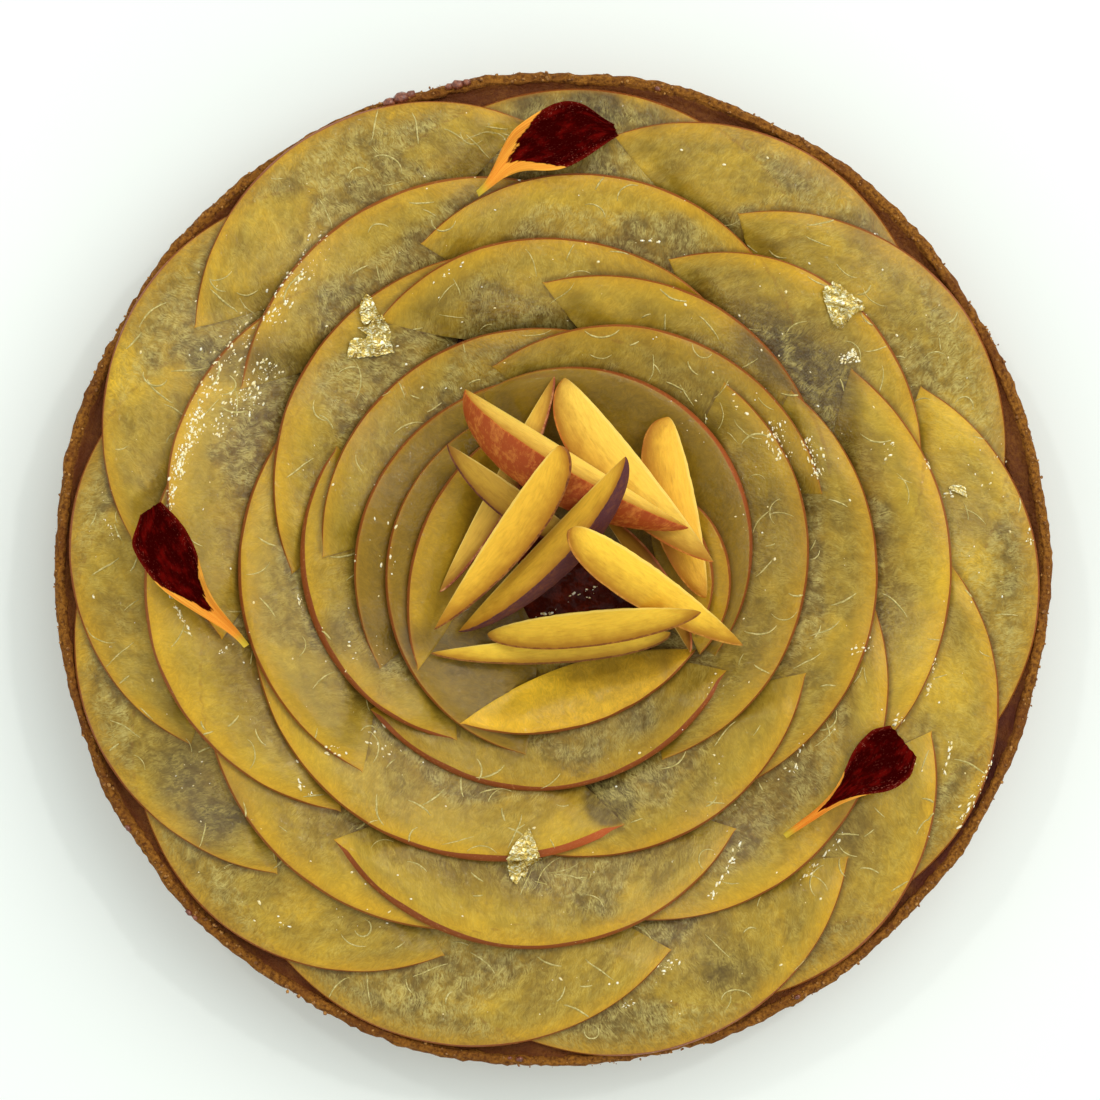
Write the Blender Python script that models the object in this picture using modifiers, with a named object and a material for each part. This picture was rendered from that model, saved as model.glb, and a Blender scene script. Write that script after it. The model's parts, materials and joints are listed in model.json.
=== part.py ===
"""Peach melba tart, 18 cm across.

A shortcrust case holds raspberry jam. Thin peach slices lie on it in six rings, like the
petals of a rose, and peach wedges are piled in the middle. Three marigold petals and three
flakes of gold leaf lie on the slices. Metres, +Z up, resting on z = 0 with the middle of
the tart over the origin. Places are given as an angle (from +X towards +Y) and a distance
from the middle.
"""

import math
import random

import bmesh
import bpy
import numpy as np
from mathutils import Matrix, Vector, noise
from mathutils.bvhtree import BVHTree

MM = 0.001

# Case: a straight-sided tart ring, baked with a thin wall
TART_RADIUS = 90 * MM
CASE_HEIGHT = 20 * MM
CASE_BASE = 3 * MM
RIM_WIDTH = 2.2 * MM
WALL_AT_BASE = 3.5 * MM
CASE_STEPS = 84
CRUMB_RELIEF = 0.55 * MM

# Jam: its surface lies a little below the rim
JAM_DROP = 1.5 * MM

# Peach slices, cut about 2 mm thick
SLICE_THICKNESS = 1.8 * MM
SLICE_SPREAD = 0.2 * MM
SLICE_COLUMNS = 12
SLICE_ROWS = 3
TIP_CUT = 0.012
PIT_BULGE = 0.09
SLICE_STIFFNESS = 1.5
LEAF_STIFFNESS = 0.3
CONTACT = 40.0
CONTACT_ROUNDS = 25

# Touching pieces keep this gap, which is looked for at spots this far apart
GAP = 0.35 * MM
PITCH = 0.8 * MM
FINE_PITCH = 0.25 * MM

SKY = 0.2
SEED = 11

# Each slice: angle and distance of one tip, of the crest of its skin edge, and of the
# other tip, in degrees and millimetres. A slice lies over the ones before it in its ring.
RING_1 = (
    (58, 79.0, 84, 87.1, 110, 79.0),
    (31, 79.0, 54, 88.0, 82, 79.0),
    (2, 77.0, 30, 87.8, 62.5, 72.0),
    (328, 77.0, 354, 88.0, 26.5, 74.0),
    (305, 79.0, 328, 87.3, 1, 71.5),
    (283, 79.0, 305, 87.8, 337, 74.0),
    (260, 81.0, 285, 88.9, 316, 74.0),
    (224, 79.0, 252, 88.3, 287.5, 71.5),
    (196, 77.0, 222, 87.6, 254.5, 72.0),
    (168, 77.0, 194, 88.0, 228, 73.5),
    (150, 77.0, 175, 87.1, 206, 72.0),
    (122, 81.0, 149, 88.9, 176, 75.5),
    (93.5, 81.0, 119, 89.6, 146, 77.5),
)
RING_2 = (
    (190, 62.5, 228, 71.0, 266, 63.0),
    (160, 68.0, 187, 72.7, 229, 57.5),
    (130, 66.0, 155, 71.5, 192, 60.0),
    (90, 69.0, 118, 73.0, 150, 64.5),
    (45, 61.0, 80, 71.5, 112, 63.0),
    (8, 65.0, 35, 72.5, 69.5, 59.5),
    (328, 66.0, 358, 71.5, 34, 64.5),
    (280, 63.5, 312, 69.5, 354, 58.0),
    (231, 62.0, 266, 68.0, 305.5, 57.0),
)
# The last slice of rings 3 and 4 is tucked under the first, which closes the round.
RING_3 = (
    (103, 58.0, 135, 58.0, 181, 46.5),
    (60, 55.5, 90, 59.5, 125, 54.5),
    (18, 52.0, 55, 55.5, 92, 51.5),
    (308, 51.0, 350, 58.0, 37, 53.5),
    (262, 50.0, 300, 53.0, 338, 49.0),
    (194, 55.0, 235, 56.0, 286, 47.5),
    (143, 52.5, 180, 56.0, 227, 49.5),
)
RING_4 = (
    (72, 42.0, 125, 44.0, 177, 41.0),
    (15.5, 50.0, 55, 48.5, 106.5, 38.0),
    (300, 39.5, 355, 45.5, 47.5, 45.5),
    (217.5, 41.0, 270, 39.5, 330, 36.0),
    (150, 44.5, 190, 44.0, 241, 35.0),
)
RING_5 = (
    (88, 34.5, 150, 35.0, 210, 35.5),
    (332, 33.0, 0, 35.6, 111.5, 34.0),
    (116, 29.5, 190, 30.0, 262, 33.5),
)
RING_6 = (
    (110, 26.5, 165, 24.5, 217, 30.0),
    (239, 32.0, 288, 28.5, 331, 29.5),
    (330, 30.5, 9, 31.0, 30, 27.0),
    (335, 28.0, 5, 28.3, 38, 22.0),
)

# Each wedge: both tips (x, y), the turn of its stone-side ridge about its length (0 is
# straight up, positive to the left of the way from tip to tip), its depth from ridge to
# skin, the angle between its two cut faces, how far its ridge stands out from the line
# between its tips as a share of its depth, and the taper of its first and its last end,
# where 0.4 is blunt and 0.85 is sharp. They are in the order they were laid.
WEDGES = {
    "wedge_thin": ((0.4, 34.3), (-20.0, -4.0), -84, 5.0, 50, 0.20, (0.70, 0.70)),
    "wedge_right": ((20.3, 27.2), (27.2, -5.0), 76, 8.8, 28, 0.25, (0.40, 0.60)),
    "wedge_hidden": ((9.0, 9.6), (24.6, -15.0), -78, 4.0, 34, 0.00, (0.65, 0.65)),
    "wedge_low": ((-21.6, -14.8), (21.3, -11.3), 60, 5.0, 46, 0.27, (0.70, 0.50)),
    "wedge_broad": ((2.0, 34.0), (28.4, 1.3), 70, 9.8, 32, 0.18, (0.50, 0.80)),
    "wedge_dark_edge": ((-18.5, 22.2), (4.4, 6.2), 72, 5.8, 36, 0.15, (0.75, 0.55)),
    "wedge_red": ((-15.6, 32.2), (24.2, 7.2), 134, 10.2, 52, 0.05, (0.60, 0.80)),
    "wedge_purple": ((14.2, 21.2), (-18.2, -12.6), -112, 7.6, 46, 0.10, (0.60, 0.75)),
    "wedge_bright": ((1.4, 8.4), (35.6, -14.6), 64, 7.8, 44, 0.40, (0.42, 0.80)),
    "wedge_level": ((-13.4, -11.8), (27.6, -7.0), 64, 6.5, 38, 0.42, (0.55, 0.65)),
    "wedge_top": ((2.6, 23.0), (-22.0, -12.2), -72, 7.4, 38, 0.22, (0.42, 0.85)),
}
WEDGE_RINGS = 9
STEEPEST = 0.50
UPRIGHTING = 0.1

# Each marigold petal: tube end and blade end (x, y), and its reach to the left and to the
# right of the line between them, in millimetres, at PETAL_STATIONS along that line
PETAL_STATIONS = (0, 0.12, 0.24, 0.36, 0.48, 0.6, 0.72, 0.84, 0.93, 1)
PETALS = {
    "petal_top": (
        (-13.2, 66.8), (11.8, 77.9),
        (0.5, 2.2, 5.2, 7.7, 8.6, 9.2, 9.5, 8.5, 5.6, 0.8),
        (-0.5, 0.3, 0.9, 0.3, -1.4, -2.1, -1.8, -1.1, -0.5, -0.2),
    ),
    "petal_left": (
        (-54.1, -13.5), (-70.6, 11.3),
        (0.5, 1.2, 2.8, 4.4, 6.0, 7.1, 7.4, 7.4, 6.3, 1.6),
        (-0.5, -0.3, 0.1, 0.2, -0.5, -1.8, -2.5, -2.5, -2.0, -1.3),
    ),
    "petal_right": (
        (41.5, -47.5), (62.5, -30.4),
        (0.5, 0.5, 0.4, 0.6, 1.3, 2.9, 4.6, 5.0, 5.1, 3.0),
        (-0.5, -0.7, -1.0, -1.3, -2.1, -3.3, -5.5, -5.8, -5.6, -3.2),
    ),
}
PETAL_THICKNESS = 0.5 * MM
PETAL_ARCH = 0.8 * MM

# How far a petal's margins rise, as a share of its half width: at its tube, and from this
# share of its length on
TUBE_CUP, BLADE_CUP, BLADE_START = 0.9, 0.18, 0.6

# Each flake of gold leaf: its middle (x, y), its length along Y, and its torn edges to the
# left and to the right of its middle, in millimetres, at equal steps along its length
FLAKES = {
    "gold_leaf_left": (
        (-32.6, 43.6), 11.7,
        (-4.0, -3.8, -2.0, -0.1, -1.7, -1.7, -0.8),
        (1.0, 4.0, 3.7, 3.3, 1.4, 0.9, -0.4),
    ),
    "gold_leaf_right": (
        (52.0, 47.3), 8.8,
        (-1.3, -2.4, -2.9, -3.5, -3.9, -3.5, -2.0),
        (-0.4, 0.8, 2.3, 3.9, 2.4, 0.5, -1.6),
    ),
    "gold_leaf_front": (
        (-4.9, -51.1), 10.4,
        (-1.6, -2.7, -3.0, -3.0, -2.2, -0.8, 0.6),
        (-1.2, -0.1, 1.0, 2.8, 2.2, 1.6, 1.0),
    ),
}
FLAKE_THICKNESS = 0.3 * MM
FLAKE_CRUMPLE = 0.5 * MM

# Materials: base colour, roughness
LOOKS = {
    "crust": ((0.42, 0.20, 0.07), 0.85),
    "jam": ((0.07, 0.006, 0.010), 0.15),
    "peach": ((0.62, 0.42, 0.08), 0.30),
    "peach_wedge": ((0.80, 0.50, 0.08), 0.40),
    "petal": ((0.13, 0.008, 0.006), 0.60),
    "gold": ((0.90, 0.68, 0.25), 0.25),
}


def material(kind):
    made = bpy.data.materials.get(kind)
    if made:
        return made
    colour, roughness = LOOKS[kind]
    made = bpy.data.materials.new(kind)
    made.use_nodes = True
    shader = made.node_tree.nodes["Principled BSDF"]
    shader.inputs["Base Color"].default_value = (*colour, 1.0)
    shader.inputs["Roughness"].default_value = roughness
    shader.inputs["Metallic"].default_value = 1.0 if kind == "gold" else 0.0
    return made


def polar(angle, distance):
    """A plan point from degrees and millimetres."""
    turn = math.radians(angle)
    return Vector((distance * MM * math.cos(turn), distance * MM * math.sin(turn)))


def add_object(name, bm, kind, place=None):
    """Makes an object of a mesh given in world coordinates, with its origin at place."""
    place = place or Matrix.Identity(4)
    bmesh.ops.recalc_face_normals(bm, faces=bm.faces[:])
    if bm.calc_volume(signed=True) < 0:
        bmesh.ops.reverse_faces(bm, faces=bm.faces[:])
    bm.transform(place.inverted())
    mesh = bpy.data.meshes.new(name)
    bm.to_mesh(mesh)
    bm.free()
    mesh.materials.append(material(kind))
    made = bpy.data.objects.new(name, mesh)
    made.matrix_world = place
    bpy.context.scene.collection.objects.link(made)
    return made


class Layer:
    """A piece that others can rest on: its surface and its bounds in plan."""

    def __init__(self, name, bm):
        self.name = name
        self.tree = BVHTree.FromBMesh(bm)
        points = [v.co for v in bm.verts]
        self.low = [min(p[i] for p in points) for i in range(2)]
        self.high = [max(p[i] for p in points) for i in range(2)]

    def covers(self, x, y):
        inside_x = self.low[0] <= x <= self.high[0]
        return inside_x and self.low[1] <= y <= self.high[1]

    def top(self, x, y):
        hit = self.tree.ray_cast(Vector((x, y, SKY)), Vector((0, 0, -1)))[0]
        return hit.z if hit else None

    def bottom(self, x, y):
        hit = self.tree.ray_cast(Vector((x, y, -SKY)), Vector((0, 0, 1)))[0]
        return hit.z if hit else None

    def near(self, other):
        reach = GAP
        overlap_x = self.low[0] < other.high[0] + reach and other.low[0] < self.high[0] + reach
        overlap_y = self.low[1] < other.high[1] + reach and other.low[1] < self.high[1] + reach
        return overlap_x and overlap_y


def height_of(layers, x, y):
    """Height of the highest layer over a plan point, or None where there is none."""
    tops = [layer.top(x, y) for layer in layers if layer.covers(x, y)]
    tops = [top for top in tops if top is not None]
    return max(tops) if tops else None


def rises(layer, below, pitch):
    """How far each spot of a layer must rise to clear what is below: (x, y, rise)."""
    found = []
    below = [other for other in below if layer.near(other)]
    for x in np.arange(layer.low[0], layer.high[0], pitch):
        for y in np.arange(layer.low[1], layer.high[1], pitch):
            bottom = layer.bottom(x, y)
            if bottom is None:
                continue
            top = height_of(below, x, y)
            if top is not None:
                found.append((x, y, top + GAP - bottom))
    return found


# Case and jam

def turned(name, profile, kind, relief=0.0):
    """A profile of (radius, height) in metres turned once about Z."""
    mesh = bpy.data.meshes.new(name + "_profile")
    edges = [(i, i + 1) for i in range(len(profile) - 1)]
    mesh.from_pydata([(r, 0, z) for r, z in profile], edges, [])
    made = bpy.data.objects.new(name, mesh)
    bpy.context.scene.collection.objects.link(made)
    screw = made.modifiers.new("turn", "SCREW")
    screw.steps = CASE_STEPS
    screw.render_steps = CASE_STEPS
    screw.use_merge_vertices = True
    screw.merge_threshold = 0.0001
    screw.use_smooth_shade = False
    graph = bpy.context.evaluated_depsgraph_get()
    bm = bmesh.new()
    bm.from_mesh(made.evaluated_get(graph).to_mesh())
    bpy.data.objects.remove(made)
    if relief:
        crumble(bm, relief)
    bmesh.ops.triangulate(bm, faces=bm.faces[:])
    bmesh.ops.recalc_face_normals(bm, faces=bm.faces[:])
    layer = Layer(name, bm)
    add_object(name, bm, kind)
    return layer


def crumble(bm, relief):
    """Makes the outer wall and the rim uneven, and leaves the base and the inside."""
    for vertex in bm.verts:
        spot = Vector(vertex.co)
        radius = spot.xy.length
        if radius < TART_RADIUS - RIM_WIDTH + 0.1 * MM or spot.z < 1 * MM:
            continue
        coarse = noise.noise(spot * 60) * relief * 1.2
        fine = noise.noise(spot * 330 + Vector((5, 0, 0))) * relief * 1.1
        vertex.co.xy *= 1 + (coarse + fine) / radius
        if spot.z > CASE_HEIGHT - 1 * MM:
            vertex.co.z += 0.7 * fine - 0.1 * MM


def case():
    outer = TART_RADIUS
    inner = TART_RADIUS - RIM_WIDTH
    top = CASE_HEIGHT
    profile = (
        (0, 0),
        (outer - 1.0 * MM, 0),
        (outer - 0.1 * MM, 1.2 * MM),
        (outer - 0.2 * MM, 0.5 * top),
        (outer - 0.1 * MM, top - 1.0 * MM),
        (outer - 0.7 * MM, top),
        (inner + 0.5 * MM, top),
        (inner, top - 0.7 * MM),
        (outer - WALL_AT_BASE, CASE_BASE),
        (0, CASE_BASE),
    )
    return turned("crust", profile, "crust", CRUMB_RELIEF)


def filling():
    jam_top = CASE_HEIGHT - JAM_DROP
    foot = TART_RADIUS - WALL_AT_BASE - GAP
    slope = (WALL_AT_BASE - RIM_WIDTH) / (CASE_HEIGHT - 0.7 * MM - CASE_BASE)
    brim = foot + slope * (jam_top - CASE_BASE - GAP)
    profile = (
        (0, CASE_BASE + GAP),
        (foot, CASE_BASE + GAP),
        (brim, jam_top),
        (0, jam_top),
    )
    return turned("raspberry_filling", profile, "jam")


# Peach slices

def arc_centre(a, b, c):
    """Middle of the circle through three plan points."""
    ab = b - a
    ac = c - a
    cross = 2 * (ab.x * ac.y - ab.y * ac.x)
    x = (ac.y * ab.length_squared - ab.y * ac.length_squared) / cross
    y = (ab.x * ac.length_squared - ac.x * ab.length_squared) / cross
    return a + Vector((x, y))


def slice_plan(row):
    """Grid of plan points of a half-moon slice, from its stone side to its skin edge."""
    first, crest, last = polar(*row[0:2]), polar(*row[2:4]), polar(*row[4:6])
    centre = arc_centre(first, crest, last)
    radius = (first - centre).length
    start = math.atan2(first.y - centre.y, first.x - centre.x)
    end = math.atan2(last.y - centre.y, last.x - centre.x)
    sweep = (end - start) % (2 * math.pi)
    chord = last - first
    inward = Vector((-chord.y, chord.x))
    plan = np.zeros((SLICE_COLUMNS + 1, SLICE_ROWS + 1, 2))
    for i in range(SLICE_COLUMNS + 1):
        along = TIP_CUT + (1 - 2 * TIP_CUT) * i / SLICE_COLUMNS
        turn = start + sweep * along
        skin = centre + radius * Vector((math.cos(turn), math.sin(turn)))
        half = sweep / 2
        share = 0.5 - 0.5 * math.sin(half * (1 - 2 * along)) / math.sin(half)
        stone = first + chord * share + inward * PIT_BULGE * 4 * share * (1 - share)
        for j in range(SLICE_ROWS + 1):
            plan[i, j] = stone.lerp(skin, j / SLICE_ROWS)
    return plan


def sample_weights(columns, rows, parts):
    """Weights that give the height of sample spots from the heights of a grid."""
    weights = []
    for a in range(columns * parts + 1):
        for b in range(rows * parts + 1):
            i = min(a // parts, columns - 1)
            j = min(b // parts, rows - 1)
            u = a / parts - i
            v = b / parts - j
            line = np.zeros((columns + 1, rows + 1))
            line[i, j] = (1 - u) * (1 - v)
            line[i + 1, j] = u * (1 - v)
            line[i, j + 1] = (1 - u) * v
            line[i + 1, j + 1] = u * v
            weights.append(line.ravel())
    return np.array(weights)


def support(plan, below, parts):
    """Sample spots of a grid, as weights, and the lowest height each spot may have."""
    weights = sample_weights(plan.shape[0] - 1, plan.shape[1] - 1, parts)
    spots = weights @ plan.reshape(-1, 2)
    tops = [height_of(below, x, y) for x, y in spots]
    lowest = min(top for top in tops if top is not None)
    floor = np.array([lowest if top is None else top for top in tops]) + GAP
    return weights, floor


def lift(heights, weights, floor, rounds):
    """Raises the corners of a grid until every sample spot clears its floor."""
    share = weights / (weights ** 2).sum(axis=1, keepdims=True)
    for _ in range(rounds):
        short = np.maximum(floor - weights @ heights, 0)
        if short.max() < 1e-7:
            break
        heights = heights + (share * short[:, None]).max(axis=0)
    return heights


def bending(columns, rows):
    """Matrix of a grid's bending energy; a flat grid has none, however it tilts."""
    index = np.arange((columns + 1) * (rows + 1)).reshape(columns + 1, rows + 1)
    lines = []
    for grid, length in ((index, columns), (index.T, rows)):
        for i in range(1, length):
            for j in range(grid.shape[1]):
                line = np.zeros(index.size)
                line[[grid[i - 1, j], grid[i, j], grid[i + 1, j]]] = (1, -2, 1)
                lines.append(line)
    for i in range(columns):
        for j in range(rows):
            line = np.zeros(index.size)
            line[[index[i, j], index[i + 1, j + 1]]] = 1
            line[[index[i + 1, j], index[i, j + 1]]] = -1
            lines.append(line)
    lines = np.array(lines)
    return lines.T @ lines


def drape(plan, below, stiffness):
    """Heights of a bending sheet that lies under its own weight on the layers below."""
    columns, rows = plan.shape[0] - 1, plan.shape[1] - 1
    weights, floor = support(plan, below, 5)
    base = floor.min()
    reach = (floor - base) / MM
    energy = stiffness * bending(columns, rows) + 1e-4 * np.eye(weights.shape[1])
    load = np.ones(weights.shape[1])
    heights = np.full(weights.shape[1], reach.max())
    for _ in range(CONTACT_ROUNDS):
        pressed = weights[weights @ heights < reach]
        held = reach[weights @ heights < reach]
        force = CONTACT * pressed.T @ held - load
        heights = np.linalg.solve(energy + CONTACT * pressed.T @ pressed, force)
        heights = np.maximum(heights, -2.0)
    heights = base + heights * MM
    return lift(heights, weights, floor, 60).reshape(columns + 1, rows + 1)


def slab(plan, heights, thickness):
    """A thin solid over a plan grid, with its two faces split into triangles alike."""
    columns, rows = plan.shape[0] - 1, plan.shape[1] - 1
    bm = bmesh.new()
    bmesh.ops.create_grid(bm, x_segments=columns, y_segments=rows, size=0.5)
    bmesh.ops.triangulate(bm, faces=bm.faces[:])
    for vertex in bm.verts:
        i = round((vertex.co.x + 0.5) * columns)
        j = round((vertex.co.y + 0.5) * rows)
        vertex.co = (*plan[i, j], heights[i, j])
    raised = bmesh.ops.extrude_face_region(bm, geom=bm.faces[:])["geom"]
    moved = [item for item in raised if isinstance(item, bmesh.types.BMVert)]
    bmesh.ops.translate(bm, verts=moved, vec=(0, 0, thickness))
    return bm


def lies_over(angle, other):
    """In a closed round each slice lies over its neighbour at the greater angle."""
    return (angle - other + 180) % 360 - 180 < 0


def lay_ring(number, rows, placed, closed):
    """Lays one ring of slices on the layers placed so far, and adds them."""
    draw = random.Random(SEED + number)
    thicknesses = [SLICE_THICKNESS + draw.uniform(-1, 1) * SLICE_SPREAD for _ in rows]
    plans = [slice_plan(row) for row in rows]
    heights = {}
    layers = {}

    def below(k):
        if closed:
            under = [layers[i] for i in layers if i != k and lies_over(rows[k][2], rows[i][2])]
        else:
            under = [layers[i] for i in layers if i < k]
        return placed + under

    def update(k):
        bm = slab(plans[k], heights[k], thicknesses[k])
        layers[k] = Layer(f"slice_{number}_{k + 1:02d}", bm)
        bm.free()

    for _ in range(3 if closed else 1):
        for k in range(len(rows)):
            heights[k] = drape(plans[k], below(k), SLICE_STIFFNESS)
            update(k)
    for _ in range(4 if closed else 1):
        for k in range(len(rows)):
            weights, floor = support(plans[k], below(k), 10)
            raised = lift(heights[k].ravel(), weights, floor, 60)
            heights[k] = raised.reshape(heights[k].shape)
            update(k)
    for k, row in enumerate(rows):
        middle = plans[k].reshape(-1, 2).mean(axis=0)
        place = Matrix.Translation((*middle, heights[k].mean()))
        place = place @ Matrix.Rotation(math.radians(row[2]), 4, "Z")
        add_object(layers[k].name, slab(plans[k], heights[k], thicknesses[k]), "peach", place)
    return [layers[k] for k in range(len(rows))]


# Peach wedges

def wedge_section(spread, rise):
    """Eight points round a wedge, ridge first, in shares of its depth, ridge up."""
    half = math.radians(spread) / 2
    ridge = Vector((0, rise))
    corner = ridge + Vector((math.sin(half), -math.cos(half)))
    skin = ridge + Vector((math.sin(half / 2), -math.cos(half / 2)))
    right = [ridge.lerp(corner, 0.5), corner, skin]
    left = [Vector((-p.x, p.y)) for p in reversed(right)]
    return [ridge, *right, ridge - Vector((0, 1)), *left]


def fullness(t, tapers):
    """Size of a wedge's section at t, from -1 at its first tip to 1 at its last one."""
    first, last = tapers
    widest = (first - last) / (first + last)
    size = max(1 + t, 0) ** first * max(1 - t, 0) ** last
    return size / ((1 + widest) ** first * (1 - widest) ** last)


def wedge_solid(length, depth, spread, rise, tapers):
    """A wedge along X with its ridge up, shaped from a sphere whose poles are its tips."""
    section = wedge_section(spread, rise)
    bm = bmesh.new()
    bmesh.ops.create_uvsphere(bm, u_segments=8, v_segments=WEDGE_RINGS, radius=1)
    bmesh.ops.triangulate(bm, faces=bm.faces[:])
    for vertex in bm.verts:
        x, y, t = vertex.co
        side = section[round(math.atan2(y, x) / math.tau * 8) % 8]
        size = depth * fullness(t, tapers)
        vertex.co = (t * length / 2, side.x * size, side.y * size)
    return bm


def settle(name, make, start, end, roll, below):
    """Places a rigid piece over the line from start to end, at rest on what is below."""
    run = end - start
    middle = (start + end) / 2
    heading = math.atan2(run.y, run.x)
    forward = run.normalized()

    def placed(height, slope):
        place = Matrix.Translation((middle.x, middle.y, height))
        place = place @ Matrix.Rotation(heading, 4, "Z")
        place = place @ Matrix.Rotation(-math.atan(slope), 4, "Y")
        place = place @ Matrix.Rotation(-math.radians(roll), 4, "X")
        bm = make()
        bm.transform(place)
        return place, bm, Layer(name, bm)

    flat = placed(0, 0)
    needs = rises(flat[2], below, PITCH)
    flat[1].free()
    options = []
    for step in range(-30, 31):
        slope = STEEPEST * step / 30
        height = max(rise - slope * ((x - middle.x) * forward.x + (y - middle.y) * forward.y)
                     for x, y, rise in needs)
        options.append((height + UPRIGHTING * abs(slope) * run.length / 2, height, slope))
    _, height, slope = min(options)
    tilted = placed(height, slope)
    height += max(rise for _, _, rise in rises(tilted[2], below, FINE_PITCH))
    tilted[1].free()
    return placed(height, slope)


def wedge(name, below):
    first, last, roll, depth, spread, rise, tapers = WEDGES[name]
    start = Vector(first) * MM
    end = Vector(last) * MM
    length = (end - start).length

    def make():
        return wedge_solid(length, depth * MM, spread, rise, tapers)

    place, bm, layer = settle(name, make, start, end, roll, below)
    add_object(name, bm, "peach_wedge", place)
    return layer


# Marigold petals

def petal_solid(length, to_left, to_right):
    """A petal along X, cupped upwards, most at its tube."""
    columns, rows = 14, 4
    plan = np.zeros((columns + 1, rows + 1, 2))
    heights = np.zeros((columns + 1, rows + 1))
    for i in range(columns + 1):
        along = i / columns
        left = np.interp(along, PETAL_STATIONS, to_left) * MM
        right = np.interp(along, PETAL_STATIONS, to_right) * MM
        cup = np.interp(along, (0, BLADE_START), (TUBE_CUP, BLADE_CUP))
        for j in range(rows + 1):
            side = 2 * j / rows - 1
            plan[i, j] = ((along - 0.5) * length, right + (left - right) * j / rows)
            rise = (left - right) / 2 * cup * side ** 2
            heights[i, j] = rise + PETAL_ARCH * math.sin(math.pi * along)
    return slab(plan, heights, PETAL_THICKNESS)


def petal(name, below):
    tube_end, blade_end, to_left, to_right = PETALS[name]
    start = Vector(tube_end) * MM
    end = Vector(blade_end) * MM
    length = (end - start).length

    def make():
        return petal_solid(length, to_left, to_right)

    place, bm, layer = settle(name, make, start, end, 0, below)
    add_object(name, bm, "petal", place)
    return layer


# Gold leaf

def flake(name, below):
    """A crumpled scrap of leaf with a torn outline, laid over the slices."""
    middle, length, to_left, to_right = FLAKES[name]
    columns, rows = len(to_left) - 1, 4
    draw = random.Random(name)
    plan = np.zeros((columns + 1, rows + 1, 2))
    for i in range(columns + 1):
        for j in range(rows + 1):
            across = to_left[i] + (to_right[i] - to_left[i]) * j / rows
            plan[i, j] = (Vector((across, (i / columns - 0.5) * length)) + Vector(middle)) * MM
    heights = drape(plan, below, LEAF_STIFFNESS)
    for spot in np.ndindex(heights.shape):
        heights[spot] += draw.uniform(0, FLAKE_CRUMPLE)
    bm = slab(plan, heights, FLAKE_THICKNESS)
    layer = Layer(name, bm)
    centre = (columns // 2, rows // 2)
    add_object(name, bm, "gold", Matrix.Translation((*plan[centre], heights[centre])))
    return layer


def main():
    for old in list(bpy.data.objects):
        bpy.data.objects.remove(old, do_unlink=True)
    placed = [case(), filling()]
    rings = (
        (RING_1, False),
        (RING_2, False),
        (RING_3, True),
        (RING_4, True),
        (RING_5, False),
        (RING_6, False),
    )
    for number, (rows, closed) in enumerate(rings, start=1):
        placed += lay_ring(number, rows, placed, closed)
    for name in WEDGES:
        placed.append(wedge(name, placed))
    for name in PETALS:
        placed.append(petal(name, placed))
    for name in FLAKES:
        placed.append(flake(name, placed))


main()
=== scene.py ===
"""Peach melba tart: the final look of every piece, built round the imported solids.

Metres, +Z up, with angles from +X towards +Y. A spot on a slice or a wedge is given in
millimetres: along its length, and across from its skin.
"""

import functools
import json
import math
import random

import bmesh
import bpy
import numpy as np
from mathutils import Matrix, Vector, noise
from mathutils.bvhtree import BVHTree

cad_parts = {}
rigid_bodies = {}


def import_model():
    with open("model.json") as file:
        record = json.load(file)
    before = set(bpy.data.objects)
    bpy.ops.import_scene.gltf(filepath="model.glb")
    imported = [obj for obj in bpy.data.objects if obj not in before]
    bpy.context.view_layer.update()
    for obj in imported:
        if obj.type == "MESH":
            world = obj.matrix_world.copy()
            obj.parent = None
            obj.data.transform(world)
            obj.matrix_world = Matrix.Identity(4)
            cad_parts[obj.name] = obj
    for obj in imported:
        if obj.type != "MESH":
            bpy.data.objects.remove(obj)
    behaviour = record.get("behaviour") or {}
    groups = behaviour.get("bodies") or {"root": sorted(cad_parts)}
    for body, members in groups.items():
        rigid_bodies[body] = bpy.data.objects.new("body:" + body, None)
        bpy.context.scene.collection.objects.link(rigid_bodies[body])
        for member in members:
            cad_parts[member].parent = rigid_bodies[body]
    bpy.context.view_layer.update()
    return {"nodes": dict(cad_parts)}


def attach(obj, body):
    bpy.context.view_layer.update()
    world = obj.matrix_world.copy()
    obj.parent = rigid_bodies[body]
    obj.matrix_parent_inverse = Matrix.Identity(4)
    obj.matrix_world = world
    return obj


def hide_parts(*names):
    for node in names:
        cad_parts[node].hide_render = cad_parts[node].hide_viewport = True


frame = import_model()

MM = 0.001
NODES = frame["nodes"]

# Floor, sky, lights (size, watts and place of each) and camera
FLOOR_REACH = 3
FLOOR_COLOURS = ((0.845, 0.88, 0.84), (0.875, 0.905, 0.86))
SKY_COLOUR = (0.95, 1.0, 0.98, 1)
SKY_STRENGTH = 0.86
LIGHTS = {
    "soft_key": (2.4, 20.0, (1.2, 1.0, 1.5)),
    "glint_right": (0.07, 1.2, (0.50, 0.42, 1.0)),
    "glint_left": (0.07, 1.0, (-0.42, 0.52, 1.0)),
}
LIGHT_AIM = (0, 0, 0.02)
SENSOR_WIDTH = 36
LENS = 108.98
CAMERA_PLACE = (-0.00036, 0.00351, 0.62)

TART_RADIUS = 90 * MM
CASE_HEIGHT = 20 * MM
CASE_BASE = 3 * MM
RIM_WIDTH = 2.2 * MM
WALL_AT_BASE = 3.5 * MM
JAM_TOP = 18.5 * MM
GAP = 0.35 * MM

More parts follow.
